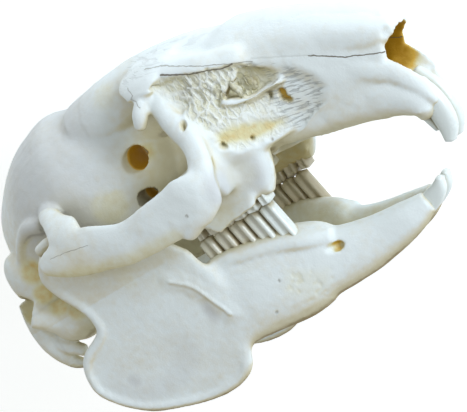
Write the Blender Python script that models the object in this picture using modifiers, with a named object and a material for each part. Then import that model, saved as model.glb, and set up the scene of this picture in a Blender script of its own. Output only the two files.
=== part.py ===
"""A life-size rabbit skull with its lower jaw, lying on its left side. Metres, +Z up.

The bones are shaped in the skull's own frame, in millimetres: X runs from the back of the head to
the nose, Y to the animal's left, Z to the top of the head. settle() then lays the skull on the floor.
"""
import math

import bmesh
import bpy
import numpy as np
from mathutils import Matrix, Vector

MM = 0.001
GAP = 0.3                 # space kept between neighbouring bones, mm
CRANIUM_VOXEL = 0.5       # grain of the surface that fuses the pieces of a bone, mm
JAW_VOXEL = 0.38
CRANIUM_FACES = 5600      # triangles left after thinning
JAW_FACES = 1700

# How the skull lies: turned about its long axis, then nose up or down, degrees
LIE_ROLL = -115.6
LIE_PITCH = 2.7

OCCLUSAL = 13.5           # height of the grinding face of the upper cheek teeth, mm
ARCH_Y = 20.6             # middle of the cheek arch from the midline, mm
CORONAL_X = 33.0          # suture between frontals and braincase
PREMAXILLA_X = 70.5       # suture between maxilla and premaxilla
NASAL_BACK_X = 55.0       # suture between frontals and nasals
FRONTAL_BASE_Z = 37.6     # lower limit of the frontal bones

# Side outline of the jaw's upright plate (x, z): neck, hollow rear edge, angle, notch, then the front
RAMUS = [(18.4, 26), (16.6, 24.8), (15, 22.2), (15.8, 18.8), (17.1, 16), (17.9, 13.2), (17.8, 10.4), (16.8, 8.6),
         (14.6, 7.4), (12.4, 6.4), (10.9, 4.8), (10.1, 2.3), (10.4, -0.5), (13, -4), (17, -7), (23, -9.1),
         (28, -10.2), (32.5, -10.2), (35.7, -9.3), (37.4, -7.8), (38.8, -5.8), (41, -3), (41.8, 4), (41.6, 9),
         (40.6, 13), (38, 16.4), (34, 18.6), (30, 20.6), (28.4, 22.6), (26.8, 23), (25.4, 24.4), (24.6, 26)]
RIM_POINTS = 21           # how many of them carry the thick rim, from the neck to the notch


# Side outline (x, z) of the plate over the roots of the upper cheek teeth
TOOTH_PLATE = [(42.0, 18.0), (44.3, 15.2), (46.6, 13.4), (49.4, 14.1), (51.9, 14.3), (54.6, 14.6), (56, 17), (54, 20),
               (46, 20)]


class Pile:
    """Closed shapes that overlap, gathered to be fused into one bone or one cutter."""

    def __init__(self):
        self.points = []
        self.faces = []

    def add(self, points, faces, both_sides=False):
        start = len(self.points)
        self.points += [tuple(p) for p in points]
        self.faces += [tuple(i + start for i in face) for face in faces]
        if both_sides:
            self.add([(x, -y, z) for x, y, z in points], [tuple(reversed(face)) for face in faces])

    def mirrored(self):
        made = Pile()
        made.points = [(x, -y, z) for x, y, z in self.points]
        made.faces = [tuple(reversed(face)) for face in self.faces]
        return made

    def strand(self, rows, up=(0, 0, 1), ring=20, steps=5, power=2.0, both_sides=False):
        """A loft along a curve. A row is x, y, z, half size along up, half size across."""
        rows = smooth_rows(np.array(rows, float), steps)
        centres = rows[:, :3]
        tangents = np.gradient(centres, axis=0)
        tangents /= np.linalg.norm(tangents, axis=1)[:, None]
        angles = np.linspace(0, 2 * math.pi, ring, endpoint=False)
        high = np.sign(np.sin(angles)) * np.abs(np.sin(angles)) ** (2 / power)
        wide = np.sign(np.cos(angles)) * np.abs(np.cos(angles)) ** (2 / power)
        points, faces = [], []
        for centre, tangent, row in zip(centres, tangents, rows):
            across = np.cross(tangent, np.array(up, float))
            across /= np.linalg.norm(across)
            upward = np.cross(across, tangent)
            points += list(centre + np.outer(high * row[3], upward) + np.outer(wide * row[4], across))
        for i in range(len(rows) - 1):
            for j in range(ring):
                a, b = i * ring + j, i * ring + (j + 1) % ring
                faces.append((a, a + ring, b + ring, b))
        self.cap(points, faces, range(ring), centres[0] - tangents[0] * min(rows[0, 3:5]) / 2)
        last = (len(rows) - 1) * ring
        tip = centres[-1] + tangents[-1] * min(rows[-1, 3:5]) / 2
        self.cap(points, faces, [last + j for j in reversed(range(ring))], tip)
        self.add(points, faces, both_sides)

    def plate(self, outline, lateral, thickness, rim=0.0, rim_span=None):
        """A thin standing plate with a given side outline. lateral(x, z) is how far out it stands."""
        points, count = [], len(outline)
        for side in (-0.5, 0.5):
            points += [(x, lateral(x, z) + side * thickness, z) for x, z in outline]
        faces = [tuple(range(count)), tuple(reversed(range(count, 2 * count)))]
        faces += [(i, i + count, (i + 1) % count + count, (i + 1) % count) for i in range(count)]
        self.add(points, faces)
        if rim:
            middle = np.mean(outline, axis=0)
            rows = []
            for x, z in outline[rim_span[0]:rim_span[1]]:
                inward = middle - (x, z)
                x, z = np.array([x, z]) + inward / np.linalg.norm(inward) * rim * 0.8
                rows.append((x, lateral(x, z), z, rim, rim))
            self.strand(rows, up=(0, 1, 0), ring=12, steps=3)

    @staticmethod
    def cap(points, faces, rim, tip):
        """Closes one end of a strand with a shallow cone."""
        rim = list(rim)
        points.append(tip)
        faces += [(rim[j], rim[(j + 1) % len(rim)], len(points) - 1) for j in range(len(rim))]

    def ball(self, centre, radii, turn=(0, 0, 0), both_sides=False):
        """An ellipsoid, turned by angles in degrees."""
        shape = bmesh.new()
        bmesh.ops.create_uvsphere(shape, u_segments=20, v_segments=12, radius=1.0)
        spin = Matrix.Rotation(math.radians(turn[2]), 4, "Z") @ Matrix.Rotation(
            math.radians(turn[1]), 4, "Y") @ Matrix.Rotation(math.radians(turn[0]), 4, "X")
        shape.transform(Matrix.Translation(centre) @ spin @ Matrix.Diagonal((*radii, 1)))
        shape.verts.index_update()
        points = [v.co[:] for v in shape.verts]
        faces = [[v.index for v in f.verts] for f in shape.faces]
        shape.free()
        self.add(points, faces, both_sides)

    def object(self, name, collection):
        mesh = bpy.data.meshes.new(name)
        mesh.from_pydata(self.points, [], self.faces)
        made = bpy.data.objects.new(name, mesh)
        collection.objects.link(made)
        return made


def smooth_rows(rows, steps):
    """Rows of a table with steps - 1 more between each two, on a Catmull-Rom curve."""
    ends = np.vstack([2 * rows[0] - rows[1], rows, 2 * rows[-1] - rows[-2]])
    made = []
    for i in range(1, len(ends) - 2):
        p, q, r, s = ends[i - 1:i + 3]
        for t in np.arange(steps) / steps:
            made.append(0.5 * (2 * q + (r - p) * t + (2 * p - 5 * q + 4 * r - s) * t ** 2
                               + (3 * q - p - 3 * r + s) * t ** 3))
    made = np.array(made + [rows[-1]])
    made[:, 3:] = np.maximum(made[:, 3:], 0.05)
    return made


def evaluated_copy(source, name):
    """The object with its modifiers applied, as a new object. The source is removed."""
    bpy.context.view_layer.update()
    graph = bpy.context.evaluated_depsgraph_get()
    mesh = bpy.data.meshes.new_from_object(source.evaluated_get(graph))
    made = bpy.data.objects.new(name, mesh)
    source.users_collection[0].objects.link(made)
    bpy.data.objects.remove(source)
    made.name = name
    return made


def keep_largest(made):
    """Deletes all but the largest closed surface of a mesh."""
    shape = bmesh.new()
    shape.from_mesh(made.data)
    left, groups = set(shape.verts), []
    while left:
        group, edge = set(), [next(iter(left))]
        while edge:
            vert = edge.pop()
            if vert in group:
                continue
            group.add(vert)
            edge += [e.other_vert(vert) for e in vert.link_edges]
        groups.append(group)
        left -= group
    largest = max(groups, key=len)
    bmesh.ops.delete(shape, geom=[v for v in shape.verts if v not in largest], context="VERTS")
    shape.to_mesh(made.data)
    shape.free()


def boolean(made, operation, other, name):
    """made with other taken away, kept or joined."""
    modifier = made.modifiers.new(operation.title(), "BOOLEAN")
    modifier.operation = operation
    modifier.object = other
    modifier.solver = "MANIFOLD"
    return evaluated_copy(made, name)


def fused_bone(name, collection, solids, hollows, voxel, faces, rounds=5):
    """The solids as one surface, less the hollows, with soft joins and few triangles."""
    bone = solids.object(name, collection)
    fuse = bone.modifiers.new("Fuse", "REMESH")
    fuse.mode = "VOXEL"
    fuse.voxel_size = voxel
    if hollows.points:
        cutter = hollows.object(name + "_hollows", collection)
        grain = cutter.modifiers.new("Fuse", "REMESH")
        grain.mode = "VOXEL"
        grain.voxel_size = voxel
        bone = boolean(bone, "DIFFERENCE", cutter, name)
        bpy.data.objects.remove(cutter)
    again = bone.modifiers.new("Regrain", "REMESH")
    again.mode = "VOXEL"
    again.voxel_size = voxel
    bone = evaluated_copy(bone, name)
    keep_largest(bone)
    soften = bone.modifiers.new("Soften", "SMOOTH")
    soften.factor = 0.5
    soften.iterations = rounds
    thin = bone.modifiers.new("Thin out", "DECIMATE")
    thin.ratio = min(1.0, faces / (2 * len(bone.data.polygons)))
    bone = evaluated_copy(bone, name)
    keep_largest(bone)
    return bone


def block(low, high, collection, tilt=0.0, pivot=(0, 0, 0)):
    """A box between two corners, turned about the Y axis through pivot."""
    shape = bmesh.new()
    bmesh.ops.create_cube(shape, size=1.0)
    low, high = Vector(low), Vector(high)
    turn = Matrix.Translation(pivot) @ Matrix.Rotation(math.radians(tilt), 4, "Y") @ Matrix.Translation(
        -Vector(pivot))
    shape.transform(turn @ Matrix.Translation((low + high) / 2) @ Matrix.Diagonal((*(high - low), 1)))
    mesh = bpy.data.meshes.new("block")
    shape.to_mesh(mesh)
    shape.free()
    made = bpy.data.objects.new("block", mesh)
    collection.objects.link(made)
    return made


def take(whole, name, low, high, collection, tilt=0.0, pivot=(0, 0, 0)):
    """Parts a box-shaped region off a bone by a thin cut: (the region's piece, what is left)."""
    inner = block(low, high, collection, tilt, pivot)
    outer = block(np.array(low) - GAP, np.array(high) + GAP, collection, tilt, pivot)
    copy = bpy.data.objects.new(name, whole.data.copy())
    collection.objects.link(copy)
    piece = boolean(copy, "INTERSECT", inner, name)
    rest = boolean(whole, "DIFFERENCE", outer, "rest")
    keep_largest(piece)
    keep_largest(rest)
    bpy.data.objects.remove(inner)
    bpy.data.objects.remove(outer)
    return piece, rest


def braincase(bone):
    """Brain capsule, occiput with its shield, and the base of the skull."""
    bone.strand([(4.8, 0, 22, 7.2, 6.6), (8, 0, 23.2, 10.4, 10), (13, 0, 25.4, 13.4, 12.2),
                 (20, 0, 28, 15.6, 13.8), (27, 0, 29.8, 15.4, 13.9), (31.5, 0, 31.6, 13.4, 11.8),
                 (34.8, 0, 33.4, 10.8, 8.4), (37.4, 0, 35.5, 7.8, 5.0)], ring=32)
    bone.strand([(4, 0, 30.6, 1.6, 4.5), (7.6, 0, 34.2, 1.8, 5.4), (12, 0, 37.6, 1.8, 4.8)])
    bone.strand([(1.5, 0, 12.8, 2.4, 4.2), (8, 0, 14.2, 3, 5), (16, 0, 17, 3.4, 4.6), (24, 0, 20, 3.8, 4),
                 (34, 0, 23, 4, 3.2), (46, 0, 27, 4, 3)])
    bone.ball((2.2, 4.2, 12.2), (2.2, 2.2, 3.4), (0, 20, 0), both_sides=True)
    bone.strand([(4.2, 9.0, 19, 2.6, 1.9), (3.2, 9.4, 14.5, 2.3, 1.7), (3.2, 9.3, 10.2, 2.0, 1.4),
                 (4.4, 8.6, 6.4, 1.5, 1.0), (6.2, 8.2, 4.8, 0.9, 0.8)], up=(1, 0, 0), ring=16, both_sides=True)
    bone.ball((7.4, 9.8, 21.8), (3.8, 3.0, 6.4), (0, -12, 0), both_sides=True)


def ear_region(bone, hollow):
    """Bulla with its rising ear tube."""
    bone.ball((10.8, 8.7, 13.2), (5.7, 4.6, 4.6), (0, 20, 0), both_sides=True)
    bone.strand([(10.4, 9.4, 12.6, 3.6, 3.2), (8.2, 11.0, 15.4, 2.9, 3.2), (6.2, 12.4, 17.6, 2.3, 3.2)],
                up=(1, 0, 0), ring=20, both_sides=True)
    bone.strand([(5.2, 9.0, 21.4, 1.0, 1.8), (8.0, 10.4, 24.6, 0.9, 1.4), (11.6, 11.6, 28.6, 1.0, 1.2),
                 (15.4, 12.8, 30.2, 1.4, 1.3), (18.8, 13.6, 29.4, 1.5, 1.2)], ring=16, both_sides=True)
    hollow.strand([(9.2, 9.8, 14.2, 1.2, 1.8), (7.2, 11.6, 16.6, 1.5, 2.3), (4.6, 13.8, 19.2, 1.9, 2.9)],
                  up=(1, 0, 0), ring=20, both_sides=True)
    bone.strand([(3.6, 9.0, 13.6, 1.4, 1.0), (5.6, 9.6, 9.6, 1.5, 1.1), (8.6, 9.4, 7.0, 1.2, 1.0)],
                up=(1, 0, 0), ring=12, both_sides=True)


def muzzle(bone):
    """Frontal roof, nasals and the body of the snout."""
    bone.strand([(30, 0, 38, 6, 8.6), (38, 0, 39.3, 5.6, 7.8), (45, 0, 39.2, 5.6, 7.8), (51, 0, 36.8, 7.4, 8.6),
                 (56, 0, 32.8, 10.4, 9.4), (61, 0, 30.4, 11.3, 9.0), (67, 0, 28.8, 10.8, 8.0),
                 (74, 0, 26.6, 9.8, 6.8), (79, 0, 24.8, 9.0, 5.9), (83.6, 0, 22.8, 7.8, 5.1)], ring=32, power=2.5)
    bone.strand([(68, 0, 32.6, 6.0, 7.9), (74, 0, 32.0, 4.6, 7.0), (80, 0, 29.4, 4.0, 6.2), (84, 0, 27.6, 3.4, 5.6),
                 (87.0, 0, 26.9, 1.9, 4.4)], power=2.4, ring=32)
    bone.strand([(36, 0, 29, 8, 2.9), (42, 0, 31.4, 8, 2.4), (50, 0, 30, 9, 3.4)], power=2.6)
    bone.strand([(29, 0, 35, 8.6, 10.2), (35, 0, 35.4, 7.4, 7.6), (42, 0, 36.2, 6.0, 5.8), (50, 0, 35, 6, 6.5)],
                ring=32)
    bone.strand([(62, 3.6, 21.6, 2.4, 3.0), (70, 3.2, 20.8, 3.4, 2.9), (76, 3.0, 20.2, 4.2, 2.8),
                 (80.4, 2.75, 19.0, 4.5, 2.6), (83, 2.5, 16.8, 3.6, 2.4), (84.2, 2.3, 14.4, 2.6, 2.1),
                 (84.2, 2.1, 12.2, 1.2, 1.5)], both_sides=True)
    bone.strand([(74, 5.2, 25.5, 2.4, 1.2), (79, 4.9, 24.4, 2.4, 1.2), (83, 4.3, 21.8, 2.0, 1.2),
                 (85.3, 3.6, 18.8, 1.7, 1.2), (86.4, 2.9, 16.0, 1.4, 1.0), (86.6, 2.3, 13.6, 0.9, 0.7)],
                both_sides=True)
    bone.strand([(46, 5.5, 42.0, 1.8, 3.2), (51, 7, 40.6, 2.2, 3.2), (56, 7.6, 38.2, 2.6, 2.8), (62, 7.4, 34.6, 2.8, 2.2),
                 (68, 6.6, 31.0, 2.4, 1.8), (76, 5.0, 27.6, 1.6, 1.2)], both_sides=True)


def orbit_rim(bone):
    """Supraorbital wings, lacrimal knobs and the front rim of each orbit."""
    bone.strand([(48.8, 5, 42.3, 6.4, 1.3), (48.9, 9.4, 41.5, 5.3, 1.2), (48.9, 12.1, 40.1, 4.0, 1.1),
                 (48.6, 13.5, 38.6, 2.4, 0.9)], up=(1, 0, 0), both_sides=True)
    bone.strand([(48.6, 13.4, 38.0, 1.2, 1.1), (47.4, 14.1, 36.2, 1.4, 1.3), (46.2, 14.2, 34.4, 1.0, 1.0)],
                up=(1, 0, 0), ring=12, both_sides=True)
    bone.strand([(50.0, 9.5, 38.6, 2.2, 2.0), (50.2, 12, 36.2, 1.9, 1.6), (51.0, 13.2, 33.6, 1.9, 1.6),
                 (52.4, 14.4, 31.0, 2.1, 1.6), (53.8, 15.8, 28.4, 2.2, 1.6), (54.2, 17.4, 25.6, 2.3, 1.6),
                 (53.2, 19.0, 22.6, 2.7, 1.5), (52.2, 19.6, 19.6, 2.6, 1.4)], up=(1, 0, 0), both_sides=True)
    bone.ball((49.0, 12.4, 37.6), (1.7, 1.6, 1.6), both_sides=True)
    bone.strand([(47, 8, 40.4, 2.6, 3.2), (52, 9.2, 37.8, 4.4, 3.4), (57, 9.4, 33.6, 7, 2.8), (62, 8.6, 30.5, 8, 1.8)],
                both_sides=True)
    bone.strand([(52.6, 13, 31, 4, 2.2), (56.5, 11.6, 27.6, 5.6, 2.4), (61.5, 8.6, 25.4, 5, 1.8)], both_sides=True)


def cheek(bone):
    """Tooth-bearing block of the maxilla, root of the cheek arch and the palate."""
    bone.strand([(37, 7.4, 19.4, 3.0, 2.4), (41, 8.2, 19.4, 4.4, 3.3), (47, 8.6, 20.0, 5.0, 3.7),
                 (53, 8.8, 20.6, 5.6, 3.5), (58.8, 8.4, 18.5, 4.2, 2.5)], power=2.6, both_sides=True)
    bone.strand([(53.4, 8, 24.5, 2.0, 6.0), (53.8, 12.5, 24, 1.6, 5.8), (53.6, 17.6, 22, 1.6, 4.2)],
                up=(1, 0, 0), power=2.6, both_sides=True)
    for sign in (-1, 1):
        bone.plate(TOOTH_PLATE, lambda x, z: sign * (11.2 - 0.16 * (z - 15)), 1.3)
    bone.strand([(44, 0, 18, 1.1, 7.5), (53, 0, 18, 1.1, 7.5)], power=3)
    bone.strand([(57, 0, 20.6, 1.8, 4.8), (66, 0, 20.0, 2, 3.6), (74, 0, 18.4, 2, 2.8), (80, 0, 16.8, 2, 2.4)],
                power=2.4)
    bone.strand([(26, 4.3, 18, 2, 1.0), (32, 4.8, 17.6, 4, 1.1), (39, 5.6, 18.6, 4.6, 1.2)], both_sides=True)


def cheek_arch(bone):
    """Cheek arch from its front tubercle to the free spine behind, and the bar from the temporal bone."""
    y = ARCH_Y
    bone.strand([(55, y - 1.8, 20.4, 2.6, 1.3), (52, y - 0.4, 20.8, 4.6, 1.4), (46.6, y, 20.6, 4.1, 1.3),
                 (37, y + 0.2, 20.4, 3.6, 1.2), (29, y, 22.6, 4.1, 1.2), (23.4, y, 23.4, 3.2, 1.2),
                 (19.6, y - 0.2, 23.8, 1.6, 1.0)], both_sides=True)
    bone.strand([(49, y - 0.2, 18.4, 2.6, 1.3), (46.6, y - 0.4, 16.3, 1.2, 1.0)], up=(1, 0, 0), ring=12,
                both_sides=True)
    bone.strand([(21.4, 11.4, 32.4, 2.6, 2.2), (22.2, 14.6, 31.2, 2.2, 1.4), (24.2, 17.6, 29.3, 2.4, 1.2),
                 (26.2, y - 0.6, 26.6, 3.6, 1.2), (25.8, y, 24, 4.2, 1.2)], up=(1, 0, 0), both_sides=True)


def upper_teeth(bone):
    """Six cheek teeth on each side, as worn columns set close."""
    tooth_front_x, pitch = 55.4, 2.75
    half_lengths = [0.9, 1.25, 1.3, 1.3, 1.25, 0.7]
    for i, half_length in enumerate(half_lengths):
        x = tooth_front_x - pitch * i
        bone.strand([(x, 8.7, 18, 2.1, half_length), (x + 0.1, 8.5, OCCLUSAL + 0.4, 2.0, half_length)],
                    up=(0, 1, 0), ring=16, power=3, steps=1, both_sides=True)


def skull_hollows(hollow):
    """Nose opening, optic canal, palate slots, throat, foramen magnum and the cheek's sunken window."""
    hollow.strand([(73, 0, 27.8, 3.0, 2.8), (76, 0, 27.2, 4.8, 4.0), (79, 0, 26.8, 5.0, 4.4), (83, 0, 25.3, 4.2, 3.9),
                   (86, 0, 22.9, 3.9, 4.0),
                   (89, 0, 20.6, 4.2, 4.2)], power=2.4)
    hollow.ball((88.0, 6.0, 26.2), (2.8, 2.6, 3.0), (0, 30, 0), both_sides=True)
    hollow.strand([(37.4, -9, 30.4, 2.2, 1.8), (37.4, 9, 30.4, 2.2, 1.8)], ring=16)
    hollow.strand([(35.6, -9, 24.4, 1.3, 1.9), (35.6, 9, 24.4, 1.3, 1.9)], ring=12)
    hollow.strand([(57.5, 2.3, 19, 3.2, 1.5), (64, 2.5, 18.6, 3.4, 1.9), (74, 1.8, 16.6, 2.6, 1.1)],
                  both_sides=True)
    hollow.strand([(22, 0, 13.6, 2.4, 2.2), (30, 0, 16, 3.6, 3.2), (40, 0, 18, 4.2, 3.6), (44.5, 0, 17.4, 3.4, 3)])
    hollow.ball((-0.4, 0, 17), (7.5, 3.9, 3.5), (0, 20, 0))
    hollow.ball((64, 10.2, 31), (6.4, 2.4, 4.2), (0, 24, 0), both_sides=True)


def cranium(collection):
    bone, hollow = Pile(), Pile()
    braincase(bone)
    ear_region(bone, hollow)
    muzzle(bone)
    orbit_rim(bone)
    cheek(bone)
    cheek_arch(bone)
    upper_teeth(bone)
    skull_hollows(hollow)
    return fused_bone("cranium", collection, bone, hollow, CRANIUM_VOXEL, CRANIUM_FACES)


def part_cranium(whole, collection):
    """The cranium parted at its sutures into named bones."""
    far = 60
    bones = {}
    for side, sign in (("left", 1), ("right", -1)):
        ys = sorted((sign * 16.2, sign * far))
        bones["zygomatic_" + side], whole = take(
            whole, "zygomatic_" + side, (0, ys[0], 5), (51.6, ys[1], 27), collection)
        ys = sorted((sign * 5.6, sign * far))
        bones["bulla_" + side], whole = take(
            whole, "bulla_" + side, (5.6, ys[0], 0), (20, ys[1], 17.4), collection)
    bones["braincase"], whole = take(
        whole, "braincase", (-far, -far, -far), (CORONAL_X, far, far), collection)
    bones["nasal_bones"], whole = take(
        whole, "nasal_bones", (NASAL_BACK_X - 3, -far, 39.8), (200, far, 200), collection,
        tilt=33.0, pivot=(59.9, 0, 39.8))
    bones["premaxillae"], whole = take(
        whole, "premaxillae", (PREMAXILLA_X, -far, -far), (200, far, 200), collection)
    bones["frontal_bones"], bones["maxillae"] = take(
        whole, "frontal_bones", (-far, -far, FRONTAL_BASE_Z), (200, far, 200), collection)
    bones["maxillae"].name = "maxillae"
    return bones


def upper_incisors(collection):
    """Two curved front teeth and the small peg teeth behind them."""
    made = {}
    for side, sign in (("left", 1), ("right", -1)):
        tooth = Pile()
        y = 1.65 * sign
        tooth.strand([(83.8, y, 18.6, 1.8, 1.35), (85.4, y, 15.4, 1.95, 1.4), (86.0, y, 12.2, 1.9, 1.45),
                      (85.8, y, 9.6, 1.65, 1.4), (84.9, y, 7.3, 0.9, 1.25)], up=(1, 0, 0), power=2.6, ring=12, steps=4)
        made["upper_incisor_" + side] = tooth.object("upper_incisor_" + side, collection)
        peg = Pile()
        y = 1.5 * sign
        peg.strand([(82.6, y, 14.5, 0.7, 0.8), (83.4, y, 11.6, 0.6, 0.7), (83.8, y, 9.6, 0.4, 0.55)],
                   up=(1, 0, 0), ring=10, steps=3)
        made["peg_tooth_" + side] = peg.object("peg_tooth_" + side, collection)
    return made


def ramus_out(x, z):
    """How far the jaw's upright plate stands from the midline."""
    return 12.9 + 0.1 * z - 0.11 * (x - 27)


def jaw(side, sign, collection):
    """One half of the lower jaw with its five cheek teeth."""
    bone, hollow = Pile(), Pile()
    bone.strand([(76, 1.9, 0.5, 1.8, 1.6), (72, 2.6, -0.3, 3.0, 2.2), (66, 3.5, -0.8, 4.0, 2.6),
                 (60, 4.8, -0.4, 5.1, 2.9), (56, 5.8, 0.8, 6.9, 3.1), (51, 7.0, 1.5, 8.0, 3.2),
                 (45, 8.5, 2.1, 8.0, 3.0), (39, 10.2, 2.6, 7.9, 2.2), (35, 11.2, 3.4, 6.6, 1.1)], power=2.3)
    bone.plate(RAMUS, ramus_out, 1.3, rim=1.05, rim_span=(0, RIM_POINTS))
    bone.strand([(18, 16.9, 26.2, 1.1, 1.3), (21, 17.0, 26.5, 1.2, 1.4), (25, 16.6, 26.0, 0.9, 1.1)], ring=14)
    front_x, pitch = 53.9, 3.1
    for i in range(5):
        x, y = front_x - pitch * i, 7.4 + 0.36 * i
        bone.strand([(x + 1.8, y, 3, 1.5, 1.35), (x, y, OCCLUSAL - 1.0, 1.4, 1.35)], up=(0, 1, 0), ring=16,
                    power=3, steps=1)
    hollow.strand([(58.4, 9.6, 2.6, 0.9, 0.9), (61.4, 6.4, 1.6, 0.8, 0.8)], ring=10)
    if sign < 0:
        bone, hollow = bone.mirrored(), hollow.mirrored()
    made = fused_bone("mandible_" + side, collection, bone, hollow, JAW_VOXEL, JAW_FACES)
    low, high = sorted((sign * GAP / 2, sign * 60))
    own_side = block((-60, low, -60), (200, high, 60), collection)
    half = boolean(made, "INTERSECT", own_side, "mandible_" + side)
    bpy.data.objects.remove(own_side)
    keep_largest(half)
    return half


def lower_incisors(collection):
    made = {}
    for side, sign in (("left", 1), ("right", -1)):
        tooth = Pile()
        y = 1.5 * sign
        tooth.strand([(72.5, y, -0.4, 1.7, 1.15), (76.0, y, 0.3, 1.65, 1.25), (78.4, y, 1.4, 1.35, 1.25),
                      (79.8, y, 2.9, 0.6, 1.1)], power=2.6, ring=12, steps=4)
        made["lower_incisor_" + side] = tooth.object("lower_incisor_" + side, collection)
    return made


def seat(bone, teeth, name):
    """Cuts sockets into a bone so that teeth sit in it with the usual gap."""
    for tooth in teeth:
        socket = bpy.data.objects.new("socket", tooth.data.copy())
        bone.users_collection[0].objects.link(socket)
        swell = socket.modifiers.new("Clearance", "DISPLACE")
        swell.strength = GAP
        swell.mid_level = 0.0
        socket = evaluated_copy(socket, "socket")
        bone = boolean(bone, "DIFFERENCE", socket, name)
        bpy.data.objects.remove(socket)
    keep_largest(bone)
    return bone


def painted(made, name, colour, roughness):
    material = bpy.data.materials.get(name) or bpy.data.materials.new(name)
    material.use_nodes = True
    shader = material.node_tree.nodes["Principled BSDF"]
    shader.inputs["Base Color"].default_value = (*colour, 1)
    shader.inputs["Roughness"].default_value = roughness
    made.data.materials.clear()
    made.data.materials.append(material)


def settle(nodes):
    """Turns the skull from its own frame to the way it lies, resting on z = 0, in metres."""
    turn = Matrix.Rotation(math.radians(LIE_PITCH), 4, "Y") @ Matrix.Rotation(math.radians(LIE_ROLL), 4, "X")
    points = np.array([turn @ v.co for made in nodes.values() for v in made.data.vertices])
    low, high = points.min(0), points.max(0)
    base = Vector(((low[0] + high[0]) / 2, (low[1] + high[1]) / 2, low[2]))
    for made in nodes.values():
        made.data.transform(Matrix.Scale(MM, 4) @ Matrix.Translation(-base) @ turn)


def main():
    for old in list(bpy.data.objects):
        bpy.data.objects.remove(old)
    collection = bpy.data.collections.new("rabbit_skull")
    bpy.context.scene.collection.children.link(collection)
    nodes = part_cranium(cranium(collection), collection)
    nodes.update(upper_incisors(collection))
    for side, sign in (("left", 1), ("right", -1)):
        nodes["mandible_" + side] = jaw(side, sign, collection)
    nodes.update(lower_incisors(collection))
    teeth = {name: made for name, made in nodes.items() if "incisor" in name or "peg" in name}
    nodes["premaxillae"] = seat(
        nodes["premaxillae"], [t for n, t in teeth.items() if not n.startswith("lower")], "premaxillae")
    for side in ("left", "right"):
        name = "mandible_" + side
        nodes[name] = seat(nodes[name], [teeth["lower_incisor_" + side]], name)
    for name, made in nodes.items():
        if name in teeth:
            painted(made, "enamel", (0.86, 0.88, 0.86), 0.3)
        else:
            painted(made, "bone", (0.84, 0.81, 0.72), 0.55)
    settle(nodes)


main()
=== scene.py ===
"""Looks of the life-size rabbit skull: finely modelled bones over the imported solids, lights and camera.

Bones are shaped in the skull's own frame, in millimetres: X runs from the back of the head to the
nose, Y to the animal's left, Z to the top of the head. Each is then laid where its solid lies.
"""
import math

import bmesh
import bpy
import numpy as np
from mathutils import Matrix, Vector
from mathutils.bvhtree import BVHTree


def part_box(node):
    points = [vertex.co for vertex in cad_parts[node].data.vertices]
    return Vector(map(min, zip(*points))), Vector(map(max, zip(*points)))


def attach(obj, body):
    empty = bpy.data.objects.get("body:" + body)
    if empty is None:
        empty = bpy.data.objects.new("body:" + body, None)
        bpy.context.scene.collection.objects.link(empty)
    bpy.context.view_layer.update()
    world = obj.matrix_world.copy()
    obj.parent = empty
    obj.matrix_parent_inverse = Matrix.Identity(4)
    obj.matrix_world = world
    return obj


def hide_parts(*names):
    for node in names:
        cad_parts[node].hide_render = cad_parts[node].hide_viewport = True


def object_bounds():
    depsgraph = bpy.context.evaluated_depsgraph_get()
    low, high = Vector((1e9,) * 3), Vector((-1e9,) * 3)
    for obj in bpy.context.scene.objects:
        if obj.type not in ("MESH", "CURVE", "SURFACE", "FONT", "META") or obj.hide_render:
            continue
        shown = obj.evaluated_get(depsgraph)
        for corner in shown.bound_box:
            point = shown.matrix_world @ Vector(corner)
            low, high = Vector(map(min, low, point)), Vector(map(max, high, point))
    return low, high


MM = 0.001
GRAIN = 0.27              # size of the surface's mesh cells, mm
SMOOTHING = 4             # rounds of smoothing once the cells are made
SIDES = (("left", 1), ("right", -1))
FORE, OUT = (1, 0, 0), (0, 1, 0)

# What shelters a point, which sets how much shade is painted on it: how far rays go, mm, how many there
# are, where they start, and how much less a bone at the end of the reach counts than one close by
REACH, TOOTH_REACH = 16.0, 12.0
RAYS, QUICK_RAYS, TOOTH_RAYS = 10, 6, 12
RAY_START = 0.3
FADE = 0.6

THINNEST = 0.05           # least half size of a strand, mm
BOX_MARGIN = 1e-6         # distance kept from the sides of the solids' box, m
SEAM_DEPTH = 0.15         # mm

# How the skull lies: turned about its long axis, then nose up or down, degrees
LIE_ROLL = -115.6
LIE_PITCH = 2.7

OCCLUSAL = 13.5           # height of the grinding face of the upper cheek teeth, mm
UPPER_Z = 12.5            # height at which the upper jaw's painted shade by the palate gives way to the lower jaw's
ARCH_Y = 20.6             # middle of the cheek arch from the midline, mm
CORONAL_X = 33.0          # suture between frontals and braincase
PREMAXILLA_X = 70.5       # suture between maxilla and premaxilla
FRONTAL_BASE_Z = 37.6     # lower limit of the frontal bones
NASAL_PIVOT = (59.9, 39.8)  # point (x, z) on the lower border of the nasal bones
NASAL_SLOPE = 33.0        # fall of that border towards the nose, degrees
NASAL_START = -7.9        # where the nasal bones begin along it, from that point, mm
JAW_CLEARANCE = 0.15      # gap between each jaw half and the midline, mm

DORSAL = (0.42, 0.0, 0.91)   # faces turned away from this way get painted shade, in the skull's frame

# Camera in the skull's frame, mm: view direction, right, up, the point it looks at, distance, focal length
VIEW_DIRECTION = (-0.528, 0.845, -0.087)
VIEW_RIGHT = (0.736, 0.404, -0.5426)
VIEW_UP = (0.423, 0.3506, 0.8355)
VIEW_CENTRE = (44.0, 0.0, 15.0)
VIEW_DISTANCE = 300.0
FOCAL_PIXELS = 1800.0
IMAGE_WIDTH = 467.0

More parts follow.
